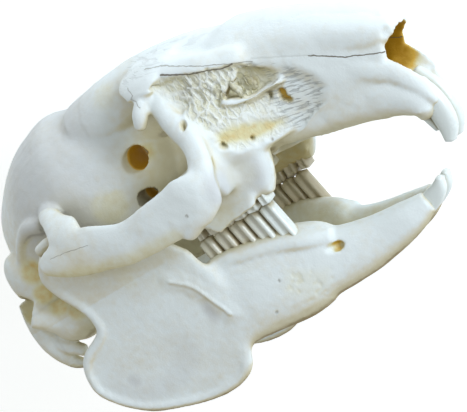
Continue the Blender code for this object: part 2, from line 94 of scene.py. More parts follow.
# Side outline of the jaw's upright plate (x, z): neck, hollow rear edge, angle, notch, then the front
RAMUS = [(18.4, 26), (16.6, 24.8), (15, 22.2), (15.8, 18.8), (17.1, 16), (17.9, 13.2), (17.8, 10.4),
         (16.8, 8.6), (14.6, 7.4), (12.4, 6.4), (10.9, 4.8), (10.1, 2.3), (10.4, -0.5), (13, -4), (17, -7),
         (23, -9.1), (28, -10.2), (32.5, -10.2), (35.7, -9.3), (37.4, -7.8), (38.8, -5.8), (41, -3),
         (41.8, 4), (41.6, 9), (40.6, 13), (38, 16.4), (34, 18.6), (30, 20.6), (28.4, 22.6), (26.8, 23),
         (25.4, 24.4), (24.6, 26)]
RIM_POINTS = 21           # how many of them carry the thick rim, from the neck to the notch
RIM_SIZE = 1.05           # half width of that rim, mm
RIM_INSET = 0.8           # how far its middle lies inside the outline, in half widths

# Where bones are cut free at the sides: least distance from the midline, then the limits of x and z
SIDE_CUTS = {"bulla_": (5.6, 5.6, 20, -math.inf, 17.4), "zygomatic_": (16.2, -math.inf, 51.6, 5, 27)}

# Side outline (x, z) of the plate over the roots of the upper cheek teeth
TOOTH_PLATE = [(42, 18), (44.3, 15.2), (46.6, 13.4), (49.4, 14.1), (51.9, 14.3), (54.6, 14.6), (56, 17),
               (54, 20), (46, 20)]

# Seen from the side (x, z): the open-work bone in front of the orbit and what lies in it.
# A small hole is x, z, half width.
OPENWORK = [(50.5, 39.1), (53.3, 39.8), (57.8, 37.9), (64.1, 35.7), (68.4, 32.8), (71.2, 30.4),
            (73.6, 27.2), (74.1, 24.5), (71.5, 21.4), (67.2, 20.6), (62.4, 21.5), (58, 22.9), (55.9, 25.1),
            (56.3, 27.5), (55.5, 30), (54.1, 32.9), (51.9, 36.2)]
WINDOW = [(59.4, 31.3), (61.9, 32.9), (63.6, 33.5), (67.2, 31.7), (68.5, 30.4), (67.6, 29.6), (65.2, 29.8),
          (62.4, 30.2)]
OCHRE_PATCH = [(56.8, 27.6), (59.7, 27.4), (63.3, 25.4), (65.6, 23.4), (65.4, 22.6), (62.5, 22.5),
               (59.5, 23.4), (56.1, 26.1)]
YELLOW_POCKET = [(51.6, 38.5), (53.6, 38.8), (56.3, 38), (57, 36.6), (55.5, 35.6), (52.7, 36.2)]
WINDOW_STRUT = [(60, 31), (61.2, 30.1), (62.9, 29.4), (64.1, 29.2), (65.3, 29.3), (66.9, 29.2), (68.5, 29)]
SMALL_HOLES = [(54, 31.5, 0.5), (67.4, 26.8, 0.75), (67.8, 25.8, 0.5), (66.9, 27.5, 0.35), (65.6, 28, 0.3),
               (57, 25.2, 0.4), (60.6, 23.4, 0.3)]

# Fine lines and marks, seen from the side (x, z)
ROOF_EDGE = [(53.4, 39.9), (57.6, 37.6), (60.6, 36.4), (62.2, 35.5), (63.9, 35.3)]
ROOF_LINE = [(50.9, 42), (54.4, 40.8), (63.1, 35.8), (66.4, 33.9)]
ROOF_CREASE = [(66.4, 34.4), (74.9, 29.9)]
NASAL_LINE = [(74.5, 30.1), (79.3, 26.9), (84.6, 24.4)]
ARCH_LINE = [(22.6, 24.5), (26, 24.2), (30.5, 23.4)]
CRACK = [(47.3, 40.9), (48.1, 39.6), (47.4, 39.2), (48.2, 38.4), (48.6, 37.3)]
JAW_RIDGE = [(34.4, 10.9), (36.5, 9.3), (38, 7.3), (38.9, 4.4), (40, 1.2)]
PITS = [(46.7, -2.4), (50.1, 1.9), (62.5, 21.9), (49.6, 19.6)]
DARK_SPOT = (17.6, -1.0)
POROUS_PATCH = [(51.8, 3.5), (58.3, -0.1), (57.5, -3.4), (53.2, -4.8), (48.7, -0.8)]

# How strongly the seam between two bones shows
SEAMS = {("maxillae", "premaxillae"): 0.12, ("braincase", "frontal_bones"): 0.2,
         ("braincase", "bulla_left"): 0.25, ("braincase", "bulla_right"): 0.25}

# Stained hollows, both sides: centre, radius, strength, how far from the midline at most
STAIN_SPOTS = [((80, 2, 25), 9, 1, 6.6), ((70, 2, 28), 7, 0.8, 6.6), ((36.8, 3.5, 30), 4.2, 1, 20),
               ((35.6, 3, 24.4), 2.8, 0.9, 20), ((14, 12, 26), 3.4, 0.45, 20), ((4, 11, 17.6), 3, 0.4, 20),
               ((31, 11, 26.5), 4.5, 0.25, 20), ((60.6, 7.2, 2), 1.7, 0.5, 20)]

# Tan patches, partly stain and partly painted shade, both sides: centre, radius, strength
TAN_SPOTS = [((48.5, 11.5, 15), 4.2, 0.16), ((56, 12.5, 20), 4.4, 0.16), ((31, 11.8, 26.4), 4.4, 0.2),
             ((39.2, 8, 42.5), 4.2, 0.18), ((10.5, 12, 23.5), 3.4, 0.42), ((9.8, 12, 19.4), 2.8, 0.42),
             ((11.5, 12.4, 16.4), 2.8, 0.4), ((14, 12, 14), 2.6, 0.36), ((23, 17, 18.5), 3, 0.12),
             ((28.5, 16, 14.2), 3, 0.14), ((33, 15, 11.6), 2.8, 0.1)]
# Lower edge of the cheek arch (x, z), with painted shade along it
SHADED_ARCH = [(20, 21.9), (29.5, 19), (37.6, 17.8), (45.5, 17.6)]

# Lines drawn on the bone: path, half width, strength
DRAWN_LINES = [(NASAL_LINE, 0.13, 0.9), (ROOF_LINE, 0.1, 0.5), (ROOF_EDGE, 0.2, 0.9), (ARCH_LINE, 0.08, 0.4),
               (ROOF_CREASE, 0.2, 0.12), (CRACK, 0.12, 0.4)]

# Colours, the ramps as (place, colour) from open to sheltered places; the bone and enamel ramps are painted
# shade
BONE_SHADE_TONES = [(0, (0.84, 0.94, 0.99)), (0.13, (0.81, 0.88, 0.89)), (0.28, (0.77, 0.79, 0.72)),
              (0.5, (0.71, 0.69, 0.53)), (0.8, (0.62, 0.58, 0.40)), (1, (0.33, 0.27, 0.14))]
STAIN_AND_SHADE_TONES = [(0, (0.80, 0.81, 0.63)), (0.26, (0.69, 0.66, 0.38)), (0.55, (0.62, 0.41, 0.07)),
               (0.95, (0.36, 0.20, 0.01))]
ENAMEL_SHADE_TONES = [(0, (0.80, 0.90, 0.93)), (0.3, (0.74, 0.80, 0.77)), (0.6, (0.58, 0.55, 0.42)),
                (0.9, (0.34, 0.26, 0.13))]
# Blue-grey: a tint on the jaw's plate, and painted shade on the braincase wall, by the cheek teeth and under
# the jaw's crest
BLUE_GREY = (0.58, 0.62, 0.66)
CELL_CREAM = (0.76, 0.77, 0.62)
CELL_TAN = (0.66, 0.65, 0.44)
NET_WHITE = (0.82, 0.87, 0.84)
STREAK_GREY = (0.38, 0.42, 0.44)
LINE_BROWN = (0.16, 0.14, 0.10)
# Painted shade on the far cheek teeth and towards the back of the near ones
TOOTH_TAN = (0.47, 0.39, 0.22)
PAINTED_GLOW = 0.1        # painted glow where bone is stained or shaded, like light through thin bone
ORBIT_GLOW = 0.16         # the same painted glow on the thin wall between the orbits

# Lights: width in m, power in W, colour. Room and floor: colour and strength of their light
KEY = (0.4, 4.6, (0.94, 1.0, 1.06))
FILL = (0.9, 1.3, (1.0, 0.99, 0.95))
LAMPS_AIM = (0, 0, 0.02)
ROOM = ((1.0, 0.98, 0.92), 0.42)
FLOOR_GLOW = ((0.92, 0.97, 1.0), 0.56)
FLOOR_HALF_WIDTH = 3.0

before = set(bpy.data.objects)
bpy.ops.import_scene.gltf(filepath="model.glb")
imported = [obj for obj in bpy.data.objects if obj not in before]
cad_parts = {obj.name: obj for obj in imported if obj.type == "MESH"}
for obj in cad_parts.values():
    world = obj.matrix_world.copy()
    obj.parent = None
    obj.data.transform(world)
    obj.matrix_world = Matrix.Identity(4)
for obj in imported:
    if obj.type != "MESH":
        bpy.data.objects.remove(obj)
CAD_BOX = [list(corner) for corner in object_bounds()]


class Pile:
    """Closed shapes that overlap, gathered to be fused into one bone or one cutter."""

    def __init__(self):
        self.points = []
        self.faces = []

    def add(self, points, faces, both_sides=False):
        start = len(self.points)
        self.points += [tuple(p) for p in points]
        self.faces += [tuple(i + start for i in face) for face in faces]
        if both_sides:
            self.add([(x, -y, z) for x, y, z in points], [tuple(reversed(face)) for face in faces])

    def mirrored(self):
        made = Pile()
        made.add([(x, -y, z) for x, y, z in self.points], [face[::-1] for face in self.faces])
        return made

    def pair(self, rows, **how):
        """A strand on each side."""
        self.strand(rows, both_sides=True, **how)

    def spine(self, rows, **how):
        """A strand in the middle plane. A row is x, z and the two half sizes."""
        self.strand([(x, 0, *rest) for x, *rest in rows], **how)

    def strand(self, rows, up=(0, 0, 1), ring=24, steps=6, power=2.0, both_sides=False, groove=0.0):
        """A loft along a curve. A row is x, y, z, half size along up, half size across."""
        rows = smooth_rows(np.array(rows, float), steps)
        centres = rows[:, :3]
        tangents = np.gradient(centres, axis=0)
        tangents /= np.linalg.norm(tangents, axis=1)[:, None]
        angles = np.linspace(0, 2 * math.pi, ring, endpoint=False)
        pinch = 1 - groove * np.exp(-(np.cos(angles) / 0.35) ** 2)
        high = pinch * np.sign(np.sin(angles)) * np.abs(np.sin(angles)) ** (2 / power)
        wide = np.sign(np.cos(angles)) * np.abs(np.cos(angles)) ** (2 / power)
        points, faces = [], []
        for centre, tangent, row in zip(centres, tangents, rows):
            across = np.cross(tangent, np.array(up, float))
            across /= np.linalg.norm(across)
            upward = np.cross(across, tangent)
            points += list(centre + np.outer(high * row[3], upward) + np.outer(wide * row[4], across))
        for i in range(len(rows) - 1):
            for j in range(ring):
                a, b = i * ring + j, i * ring + (j + 1) % ring
                faces.append((a, a + ring, b + ring, b))
        self.cap(points, faces, range(ring), centres[0] - tangents[0] * min(rows[0, 3:5]) / 2)
        last = (len(rows) - 1) * ring
        tip = centres[-1] + tangents[-1] * min(rows[-1, 3:5]) / 2
        self.cap(points, faces, [last + j for j in reversed(range(ring))], tip)
        self.add(points, faces, both_sides)

    def plate(self, outline, lateral, thickness):
        """A thin standing plate with a given side outline. lateral(x, z) is how far out it stands."""
        points, count = [], len(outline)
        for side in (-0.5, 0.5):
            points += [(x, lateral(x, z) + side * thickness, z) for x, z in outline]
        faces = [tuple(range(count)), tuple(reversed(range(count, 2 * count)))]
        faces += [(i, i + count, (i + 1) % count + count, (i + 1) % count) for i in range(count)]
        self.add(points, faces)

    @staticmethod
    def cap(points, faces, rim, tip):
        """Closes one end of a strand with a shallow cone."""
        rim = list(rim)
        points.append(tip)
        faces += [(rim[j], rim[(j + 1) % len(rim)], len(points) - 1) for j in range(len(rim))]

    def ball(self, centre, radii, turn=0):
        """An ellipsoid, turned nose down by an angle in degrees. One off the middle plane is made twice."""
        shape = bmesh.new()
        bmesh.ops.create_uvsphere(shape, u_segments=24, v_segments=14, radius=1.0)
        spin = Matrix.Rotation(math.radians(turn), 4, "Y")
        shape.transform(Matrix.Translation(centre) @ spin @ Matrix.Diagonal((*radii, 1)))
        shape.verts.index_update()
        points = [v.co[:] for v in shape.verts]
        faces = [[v.index for v in f.verts] for f in shape.faces]
        shape.free()
        self.add(points, faces, both_sides=centre[1] != 0)

    def object(self, name):
        mesh = bpy.data.meshes.new(name)
        mesh.from_pydata(self.points, [], self.faces)
        return linked(name, mesh)


def linked(name, data):
    made = bpy.data.objects.new(name, data)
    bpy.context.scene.collection.objects.link(made)
    return made


def smooth_rows(rows, steps):
    """Rows of a table with steps - 1 more between each two, on a Catmull-Rom curve."""
    ends = np.vstack([2 * rows[0] - rows[1], rows, 2 * rows[-1] - rows[-2]])
    made = []
    for i in range(1, len(ends) - 2):
        p, q, r, s = ends[i - 1:i + 3]
        for t in np.arange(steps) / steps:
            made.append(0.5 * (2 * q + (r - p) * t + (2 * p - 5 * q + 4 * r - s) * t ** 2
                               + (3 * q - p - 3 * r + s) * t ** 3))
    made = np.array(made + [rows[-1]])
    made[:, 3:] = np.maximum(made[:, 3:], THINNEST)
    return made


def modified(made, name, kind, **settings):
    """A new object: the given one with a modifier applied. The given one is removed."""
    modifier = made.modifiers.new(kind, kind)
    for title, value in settings.items():
        setattr(modifier, title, value)
    bpy.context.view_layer.update()
    mesh = bpy.data.meshes.new_from_object(made.evaluated_get(bpy.context.evaluated_depsgraph_get()))
    bpy.data.objects.remove(made)
    return linked(name, mesh)


def regrained(made, name):
    """The object's surface rebuilt from even cells, which fuses the pieces that overlap."""
    return modified(made, name, "REMESH", mode="VOXEL", voxel_size=GRAIN)


def fused_bone(name, solids, hollows, extras):
    """The solids as one surface, less the hollows, with the extras set inside them."""
    bone, cutter = (regrained(pile.object(title), title) for pile, title in (
        (solids, name), (hollows, name + "_hollows")))
    bone = modified(bone, name, "BOOLEAN", operation="DIFFERENCE", object=cutter, solver="MANIFOLD")
    bpy.data.objects.remove(cutter)
    if extras.points:
        inner = extras.object(name + "_extras")
        with bpy.context.temp_override(active_object=bone, selected_editable_objects=[bone, inner]):
            bpy.ops.object.join()
    return Surface(modified(regrained(bone, name), name, "SMOOTH", factor=0.5, iterations=SMOOTHING))


def grain_noise(points, size, seed):
    """Smooth noise from -1 to 1 with features of a given size: values at grid corners, blended."""
    cells = points / np.array(size)
    low = np.floor(cells).astype(np.int64)
    part = cells - low
    part = part * part * (3 - 2 * part)
    total = np.zeros(len(points))
    for corner in np.ndindex(2, 2, 2):
        key = (low + corner) @ np.array([7387, 19349, 8349]) + seed * 3571
        value = np.sin(key * 12.9898) * 43758.5453
        total += (value - np.floor(value)) * np.prod(np.where(corner, part, 1 - part), axis=1)
    return 2 * total - 1


def ramp(values, start, end):
    """0 at start, 1 at end and smooth between. start may be the larger."""
    t = np.clip((values - start) / (end - start), 0, 1)
    return t * t * (3 - 2 * t)


def apart(points, centre, scale=1.0):
    """Distances of points from a centre, in units of the scale."""
    return np.linalg.norm((points - np.array(centre)) / scale, axis=1)


def between(values, start, full, fall, end):
    """0 outside start and end, 1 from full to fall."""
    return ramp(values, start, full) * ramp(values, end, fall)


def warped(flat, points, amount, size, seeds):
    """Points (x, z) made a little uneven."""
    return flat + amount * np.stack([grain_noise(points, size, seed) for seed in seeds], 1)


def line_distance(flat, path, closed=False):
    """Distance of points (x, z) from a broken line."""
    path = np.array(path, float)
    ends = np.roll(path, -1, axis=0) if closed else path[1:]
    nearest = np.full(len(flat), 1e9)
    for a, b in zip(path, ends):
        along = np.clip((flat - a) @ (b - a) / ((b - a) @ (b - a)), 0, 1)
        nearest = np.minimum(nearest, np.linalg.norm(flat - a - along[:, None] * (b - a), axis=1))
    return nearest


def depth_inside(flat, outline):
    """Distance of points (x, z) from an outline, positive inside it."""
    outline = np.array(outline, float)
    inside = np.zeros(len(flat), bool)
    x, z = flat.T
    for (ax, az), (bx, bz) in zip(outline, np.roll(outline, -1, axis=0)):
        crosses = (az > z) != (bz > z)
        inside ^= crosses & (x < (bx - ax) * (z - az) / (bz - az + 1e-12) + ax)
    return np.where(inside, 1, -1) * line_distance(flat, outline, closed=True)


def cells(flat, size, turn, seed):
    """An open network of uneven meshes: (distance from the walls between them, a number for each)."""
    turn = math.radians(turn)
    spin = np.array([[math.cos(turn), math.sin(turn)], [-math.sin(turn), math.cos(turn)]])
    place = (flat @ spin.T) / np.array(size)
    low = np.floor(place).astype(np.int64)
    best, second, value = np.full(len(flat), 9.0), np.full(len(flat), 9.0), np.zeros(len(flat))
    for i in (-1, 0, 1):
        for j in (-1, 0, 1):
            cell = low + (i, j)
            key = cell @ np.array([374.7, 668.3]) + seed * 91.7
            noise = np.stack([np.sin(key * k) * 43758.5 for k in (12.99, 78.23, 3.17)], 1)
            noise -= np.floor(noise)
            away = np.linalg.norm(cell + 0.15 + 0.7 * noise[:, :2] - place, axis=1)
            nearer = away < best
            second = np.where(nearer, best, np.minimum(second, away))
            value = np.where(nearer, noise[:, 2], value)
            best = np.minimum(best, away)
    return second - best, value


def read(items, name, width, kind):
    """A property of mesh items as an array with a row for each."""
    values = np.zeros(len(items) * width, kind)
    items.foreach_get(name, values)
    return values.reshape(-1, width)


def give(mesh, name, values):
    """An attribute of the mesh's points, of numbers or of vectors."""
    kind, field = ("FLOAT", "value") if values.ndim == 1 else ("FLOAT_VECTOR", "vector")
    mesh.attributes.new(name, kind, "POINT").data.foreach_set(field, values.astype(np.float32).ravel())


class Surface:
    """A bone's surface as arrays, to be shaped and painted, and then parted into pieces."""

    def __init__(self, made):
        mesh = made.data
        self.points = read(mesh.vertices, "co", 3, float)
        self.edges = read(mesh.edges, "vertices", 2, np.int64)
        self.faces = read(mesh.loops, "vertex_index", 1, np.int64).reshape(-1, 4)
        self.paint = {}
        bpy.data.objects.remove(made)
        self.keep_largest()

    def keep_largest(self):
        """Drops loose scraps: a label spreads along the edges until each closed surface has one."""
        label = np.arange(len(self.points))
        a, b = self.edges.T
        while True:
            low = label.copy()
            np.minimum.at(low, a, label[b])
            np.minimum.at(low, b, label[a])
            low = low[low]
            if (low == label).all():
                break
            label = low
        keep = label == np.bincount(label).argmax()
        fresh = np.cumsum(keep) - 1
        self.points = self.points[keep]
        self.edges = fresh[self.edges[keep[self.edges].all(1)]]
        self.faces = fresh[self.faces[keep[self.faces].all(1)]]
        self.degree = np.bincount(self.edges.ravel(), minlength=len(self.points))

    def normals(self):
        a, b, c, d = (self.points[self.faces[:, i]] for i in range(4))
        face = np.cross(c - a, d - b)
        total = np.zeros_like(self.points)
        for axis in range(3):
            for i in range(4):
                total[:, axis] += np.bincount(self.faces[:, i], face[:, axis], len(self.points))
        return total / (np.linalg.norm(total, axis=1)[:, None] + 1e-12)

    def spread(self, values, rounds, weight=0.5):
        """Values per point, averaged with their neighbours some times over."""
        a, b = self.edges.T
        count = len(self.points)
        for _ in range(rounds):
            if values.ndim == 1:
                near = np.bincount(a, values[b], count) + np.bincount(b, values[a], count)
                values = (1 - weight) * values + weight * near / self.degree
            else:
                values = np.stack([self.spread(values[:, i], 1, weight) for i in range(values.shape[1])], 1)
        return values

    def push(self, amounts):
        """Moves each point along its normal, outwards if positive."""
        self.points = self.points + self.normals() * amounts[:, None]

    def soften(self, mask, rounds):
        """Smooths the surface where the mask is near 1."""
        for _ in range(rounds):
            self.points = self.points + 0.5 * mask[:, None] * (self.spread(self.points, 1, 1.0) - self.points)

    def painted_shade(self, tree, reach, rays):
        return self.spread(sheltered(self.points, self.normals(), tree, reach, rays), 4)

    def piece(self, name, chosen, normals, lay):
        """An object of the chosen faces, with the paint as attributes, laid in the world."""
        faces = self.faces[chosen]
        used = np.unique(faces)
        fresh = np.full(len(self.points), -1)
        fresh[used] = np.arange(len(used))
        mesh = bpy.data.meshes.new(name)
        laid = boxed(lay_points(self.points[used], lay))
        mesh.vertices.add(len(used))
        mesh.vertices.foreach_set("co", laid.ravel())
        mesh.loops.add(faces.size)
        mesh.loops.foreach_set("vertex_index", fresh[faces].ravel().astype(np.int32))
        mesh.polygons.add(len(faces))
        mesh.polygons.foreach_set("loop_start", np.arange(0, faces.size, 4, dtype=np.int32))
        mesh.update(calc_edges=True)
        mesh.validate()
        turned = normals[used] @ np.array(lay.to_3x3().normalized()).T
        mesh.normals_split_custom_set_from_vertices([tuple(n) for n in turned.tolist()])
        for title, values in self.paint.items():
            give(mesh, title, values[used])
        give(mesh, "skull_mm", self.points[used])
        return linked(name, mesh)


def sheltered(points, normals, tree, reach, rays):
    """How enclosed each point is, from 0 in the open to 1 where every ray meets bone near by."""
    index = np.arange(rays) + 0.5
    height = np.sqrt(1 - index / rays)
    turn = index * math.pi * (3 - math.sqrt(5))
    low = np.sqrt(1 - height ** 2)
    local = np.stack([np.cos(turn) * low, np.sin(turn) * low, height], 1)
    side = np.cross(normals, np.where(np.abs(normals[:, :1]) < 0.9, [[1.0, 0, 0]], [[0, 1.0, 0]]))
    side /= np.linalg.norm(side, axis=1)[:, None]
    other = np.cross(normals, side)
    starts = points + normals * RAY_START
    blocked = np.zeros(len(points))
    for ray in local:
        ways = side * ray[0] + other * ray[1] + normals * ray[2]
        for i, (start, way) in enumerate(zip(starts.tolist(), ways.tolist())):
            distance = tree.ray_cast(start, way, reach)[3]
            if distance is not None:
                blocked[i] += 1 - distance / reach * FADE
    return blocked / rays


def lay_points(points, lay):
    matrix = np.array(lay)
    return points @ matrix[:3, :3].T + matrix[:3, 3]


def boxed(points):
    """Points in the world, kept within the box of the solids."""
    return np.clip(points, np.array(CAD_BOX[0]) + BOX_MARGIN, np.array(CAD_BOX[1]) - BOX_MARGIN)


def bone_tree(surfaces, piles):
    """A search tree of all the bones and teeth, for finding what shelters what."""
    points, faces, start = [], [], 0
    for pile in piles:
        points += [tuple(map(float, p)) for p in pile.points]
        faces += [[i + start for i in face] for face in pile.faces]
        start = len(points)
    for surface in surfaces:
        points += surface.points.tolist()
        faces += (surface.faces + start).tolist()
        start += len(surface.points)
    return BVHTree.FromPolygons(points, faces)


def braincase(bone):
    """Brain capsule, occiput with its shield, and the base of the skull."""
    bone.spine([(4.8, 22, 7.2, 6.6), (8, 23.2, 10.4, 10), (13, 25.4, 13.4, 12.2), (20, 28, 15.6, 13.8),
                (27, 29.8, 15.4, 13.9), (31.5, 31.6, 13.4, 11.8), (34.8, 33.4, 10.8, 8.4),
                (37.4, 35.5, 7.8, 5)], ring=48)
    bone.spine([(4, 30.6, 1.6, 4.5), (7.6, 34.2, 1.8, 5.4), (12, 37.6, 1.8, 4.8)])
    bone.spine([(1.5, 12.8, 2.4, 4.2), (8, 14.2, 3, 5), (16, 17, 3.4, 4.6), (24, 20, 3.8, 4),
                (34, 23, 4, 3.2), (46, 27, 4, 3)])
    bone.ball((2.2, 4.2, 12.2), (2.2, 2.2, 3.4), 20)
    bone.pair([(4.2, 9, 19, 2.6, 1.9), (3.2, 9.4, 14.5, 2.3, 1.7), (3.2, 9.3, 10.2, 2, 1.4),
               (4.4, 8.6, 6.4, 1.5, 1), (6.2, 8.2, 4.8, 0.9, 0.8)], up=FORE, ring=16)
    bone.ball((7.4, 9.8, 21.8), (3.8, 3.0, 6.4), -12)


def ear_region(bone, hollow):
    """Bulla with its rising ear tube."""
    bone.ball((10.8, 8.7, 13.2), (5.7, 4.6, 4.6), 20)
    bone.pair([(10.4, 9.4, 12.6, 3.6, 3.2), (8.2, 11, 15.4, 2.9, 3.2), (6.2, 12.4, 17.6, 2.3, 3.2)],
              up=FORE, ring=20)
    bone.pair([(5.2, 9, 21.4, 1, 1.8), (8, 10.4, 24.6, 0.9, 1.4), (11.6, 11.6, 28.6, 1, 1.2),
               (15.4, 12.8, 30.2, 1.4, 1.3), (18.8, 13.6, 29.4, 1.5, 1.2)], ring=16)
    hollow.pair([(9.2, 9.8, 14.2, 1.2, 1.8), (7.2, 11.6, 16.6, 1.5, 2.3), (4.6, 13.8, 19.2, 1.9, 2.9)],
                up=FORE, ring=20)
    bone.pair([(5.4, 10.2, 21, 0.6, 0.9), (7, 11.4, 19.6, 0.6, 0.9), (7.3, 11.9, 17.7, 0.6, 0.9),
               (5.9, 11.4, 16, 0.6, 0.9), (3.4, 10.2, 14.5, 0.5, 0.8)], up=OUT, ring=12)
    hollow.ball((3.9, 11.4, 17.9), (2.3, 2.6, 2.5), 30)
    bone.pair([(3.6, 9, 13.6, 1.4, 1), (5.6, 9.6, 9.6, 1.5, 1.1), (8.6, 9.4, 7, 1.2, 1)],
              up=FORE, ring=12)


def muzzle(bone):
    """Frontal roof, nasals and the body of the snout."""
    bone.spine([(30, 38, 6, 8.6), (38, 39.3, 5.6, 7.8), (45, 39.2, 5.6, 7.8), (51, 36.8, 7.4, 8.6),
                (56, 32.8, 10.4, 9.4), (61, 30.4, 11.3, 9), (67, 28.8, 10.8, 8), (74, 26.6, 9.8, 6.8),
                (79, 24.8, 9, 5.9), (83.6, 22.8, 7.8, 5.1)], ring=48, power=2.5)
    bone.spine([(68, 32.6, 6, 7.9), (74, 32, 4.6, 7), (80, 29.4, 4, 6.2), (84, 27.6, 3.4, 5.6),
                (87, 26.9, 1.9, 4.4)], power=2.4, ring=32)
    bone.spine([(36, 29, 8, 2.9), (42, 31.4, 8, 2.4), (50, 30, 9, 3.4)], power=2.6)
    bone.spine([(29, 35, 8.6, 10.2), (35, 35.4, 7.4, 7.6), (42, 36.2, 6, 5.8), (50, 35, 6, 6.5)], ring=32)
    bone.pair([(62, 3.6, 21.6, 2.4, 3), (70, 3.2, 20.8, 3.4, 2.9), (76, 3, 20.2, 4.2, 2.8),
               (80.4, 2.75, 19, 4.5, 2.6), (83, 2.5, 16.8, 3.6, 2.4), (84.2, 2.3, 14.4, 2.6, 2.1),
               (84.2, 2.1, 12.2, 1.2, 1.5)])
    bone.pair([(74, 5.2, 25.5, 2.4, 1.2), (79, 4.9, 24.4, 2.4, 1.2), (83, 4.3, 21.8, 2, 1.2),
               (85.3, 3.6, 18.8, 1.7, 1.2), (86.4, 2.9, 16, 1.4, 1), (86.6, 2.3, 13.6, 0.9, 0.7)])
    bone.pair([(46, 5.5, 42, 1.8, 3.2), (51, 7, 40.6, 2.2, 3.2), (56, 7.6, 38.2, 2.6, 2.8),
               (62, 7.4, 34.6, 2.8, 2.2), (68, 6.6, 31, 2.4, 1.8), (76, 5, 27.6, 1.6, 1.2)])


def orbit_rim(bone):
    """Supraorbital wings, lacrimal knobs and the front rim of each orbit."""
    bone.pair([(48.8, 5, 42.3, 6.4, 1.3), (48.9, 9.4, 41.5, 5.3, 1.2), (48.9, 12.1, 40.1, 4, 1.1),
               (48.6, 13.5, 38.6, 2.4, 0.9)], up=FORE)
    bone.pair([(48.6, 13.4, 38, 1.2, 1.1), (47.4, 14.1, 36.2, 1.4, 1.3), (46.2, 14.2, 34.4, 1, 1)],
              up=FORE, ring=12)
    bone.pair([(50, 9.5, 38.6, 2.2, 2), (50.2, 12, 36.2, 1.9, 1.6), (51, 13.2, 33.6, 1.9, 1.6),
               (52.4, 14.4, 31, 2.1, 1.6), (53.8, 15.8, 28.4, 2.2, 1.6), (54.2, 17.4, 25.6, 2.3, 1.6),
               (53.2, 19, 22.6, 2.7, 1.5), (52.2, 19.6, 19.6, 2.6, 1.4)], up=FORE)
    bone.ball((49.0, 12.4, 37.6), (1.7, 1.6, 1.6))
    bone.pair([(47, 8, 40.4, 2.6, 3.2), (52, 9.2, 37.8, 4.4, 3.4), (57, 9.4, 33.6, 7, 2.8),
               (62, 8.6, 30.5, 8, 1.8)])
    bone.pair([(52.6, 13, 31, 4, 2.2), (56.5, 11.6, 27.6, 5.6, 2.4), (61.5, 8.6, 25.4, 4.6, 1.8),
               (67, 6.4, 24.6, 3.4, 1.2)])


def cheek(bone):
    """Tooth-bearing block of the maxilla, root of the cheek arch and the palate."""
    bone.pair([(37, 7.4, 19.4, 3, 2.4), (41, 8.2, 19.4, 4.4, 3.3), (47, 8.6, 20, 5, 3.7),
               (53, 8.8, 20.6, 5.6, 3.5), (58.8, 8.4, 18.5, 4.2, 2.5)], power=2.6)
    bone.pair([(53.4, 8, 24.5, 2, 6), (53.8, 12.5, 24, 1.6, 5.8), (53.6, 17.6, 22, 1.6, 4.2)],
              up=FORE, power=2.6)
    for sign in (-1, 1):
        bone.plate(TOOTH_PLATE, lambda x, z: sign * (11.2 - 0.16 * (z - 15)), 1.3)
    bone.spine([(44, 18, 1.1, 7.5), (53, 18, 1.1, 7.5)], power=3)
    bone.spine([(57, 20.6, 1.8, 4.8), (66, 20, 2, 3.6), (74, 18.4, 2, 2.8), (80, 16.8, 2, 2.4)], power=2.4)
    bone.pair([(26, 4.3, 18, 2, 1), (32, 4.8, 16.4, 5, 1.1), (39, 5.6, 17, 6.2, 1.2)])


def cheek_arch(bone):
    """Cheek arch from its front tubercle to the free spine behind, and the bar from the temporal bone."""
    y = ARCH_Y
    bone.pair([(55, y - 1.8, 20.4, 2.6, 1.3), (52, y - 0.4, 20.8, 4.6, 1.4), (46.6, y, 20.6, 4.1, 1.3),
               (37, y + 0.2, 20.4, 3.6, 1.2), (29, y, 22.6, 4.1, 1.2), (23.4, y, 23.4, 3.2, 1.2),
               (19.6, y - 0.2, 23.8, 1.6, 1)])
    bone.pair([(49, y - 0.2, 18.4, 2.6, 1.3), (46.6, y - 0.4, 16.3, 1.2, 1)], up=FORE, ring=12)
    bone.pair([(21.2, 11.5, 31.2, 2.4, 2.2), (22, 14.6, 30.4, 2, 1.4), (24.2, 17.6, 28.8, 2.2, 1.2),
               (26.2, y - 0.6, 26.6, 3.6, 1.2), (25.8, y, 24, 4.2, 1.2)], up=FORE)


def skull_hollows(hollow):
    """Nose chamber, optic canal, palate slots, throat, foramen magnum and the cheek's windows."""
    hollow.spine([(57, 32.6, 6.6, 6), (62, 30.4, 8.2, 6.6), (68, 28.8, 8, 5.8), (74, 27.4, 6.4, 4.9),
                  (79, 26.8, 5, 4.4), (83, 25.3, 4.2, 3.9), (86, 22.9, 3.9, 4), (89, 20.6, 4.2, 4.2)],
                 power=2.4, ring=32)
    hollow.ball((88.0, 6.0, 26.2), (2.8, 2.6, 3.0), 30)
    hollow.strand([(37.4, -9, 30.4, 2.2, 1.8), (37.4, 9, 30.4, 2.2, 1.8)], ring=16)
    hollow.strand([(35.6, -9, 24.4, 1.3, 1.9), (35.6, 9, 24.4, 1.3, 1.9)], ring=12)
    hollow.pair([(57.5, 2.3, 19, 3.2, 1.5), (64, 2.5, 18.6, 3.4, 1.9), (74, 1.8, 16.6, 2.6, 1.1)])
    hollow.spine([(22, 13.6, 2.4, 2.2), (30, 16, 3.6, 3.2), (40, 18, 4.2, 3.6), (44.5, 17.4, 3.4, 3)])
    hollow.ball((-0.4, 0, 17), (7.5, 3.9, 3.5), 20)
    for sign in (-1, 1):
        hollow.plate(WINDOW, lambda x, z: sign * 10.2, 4.8)


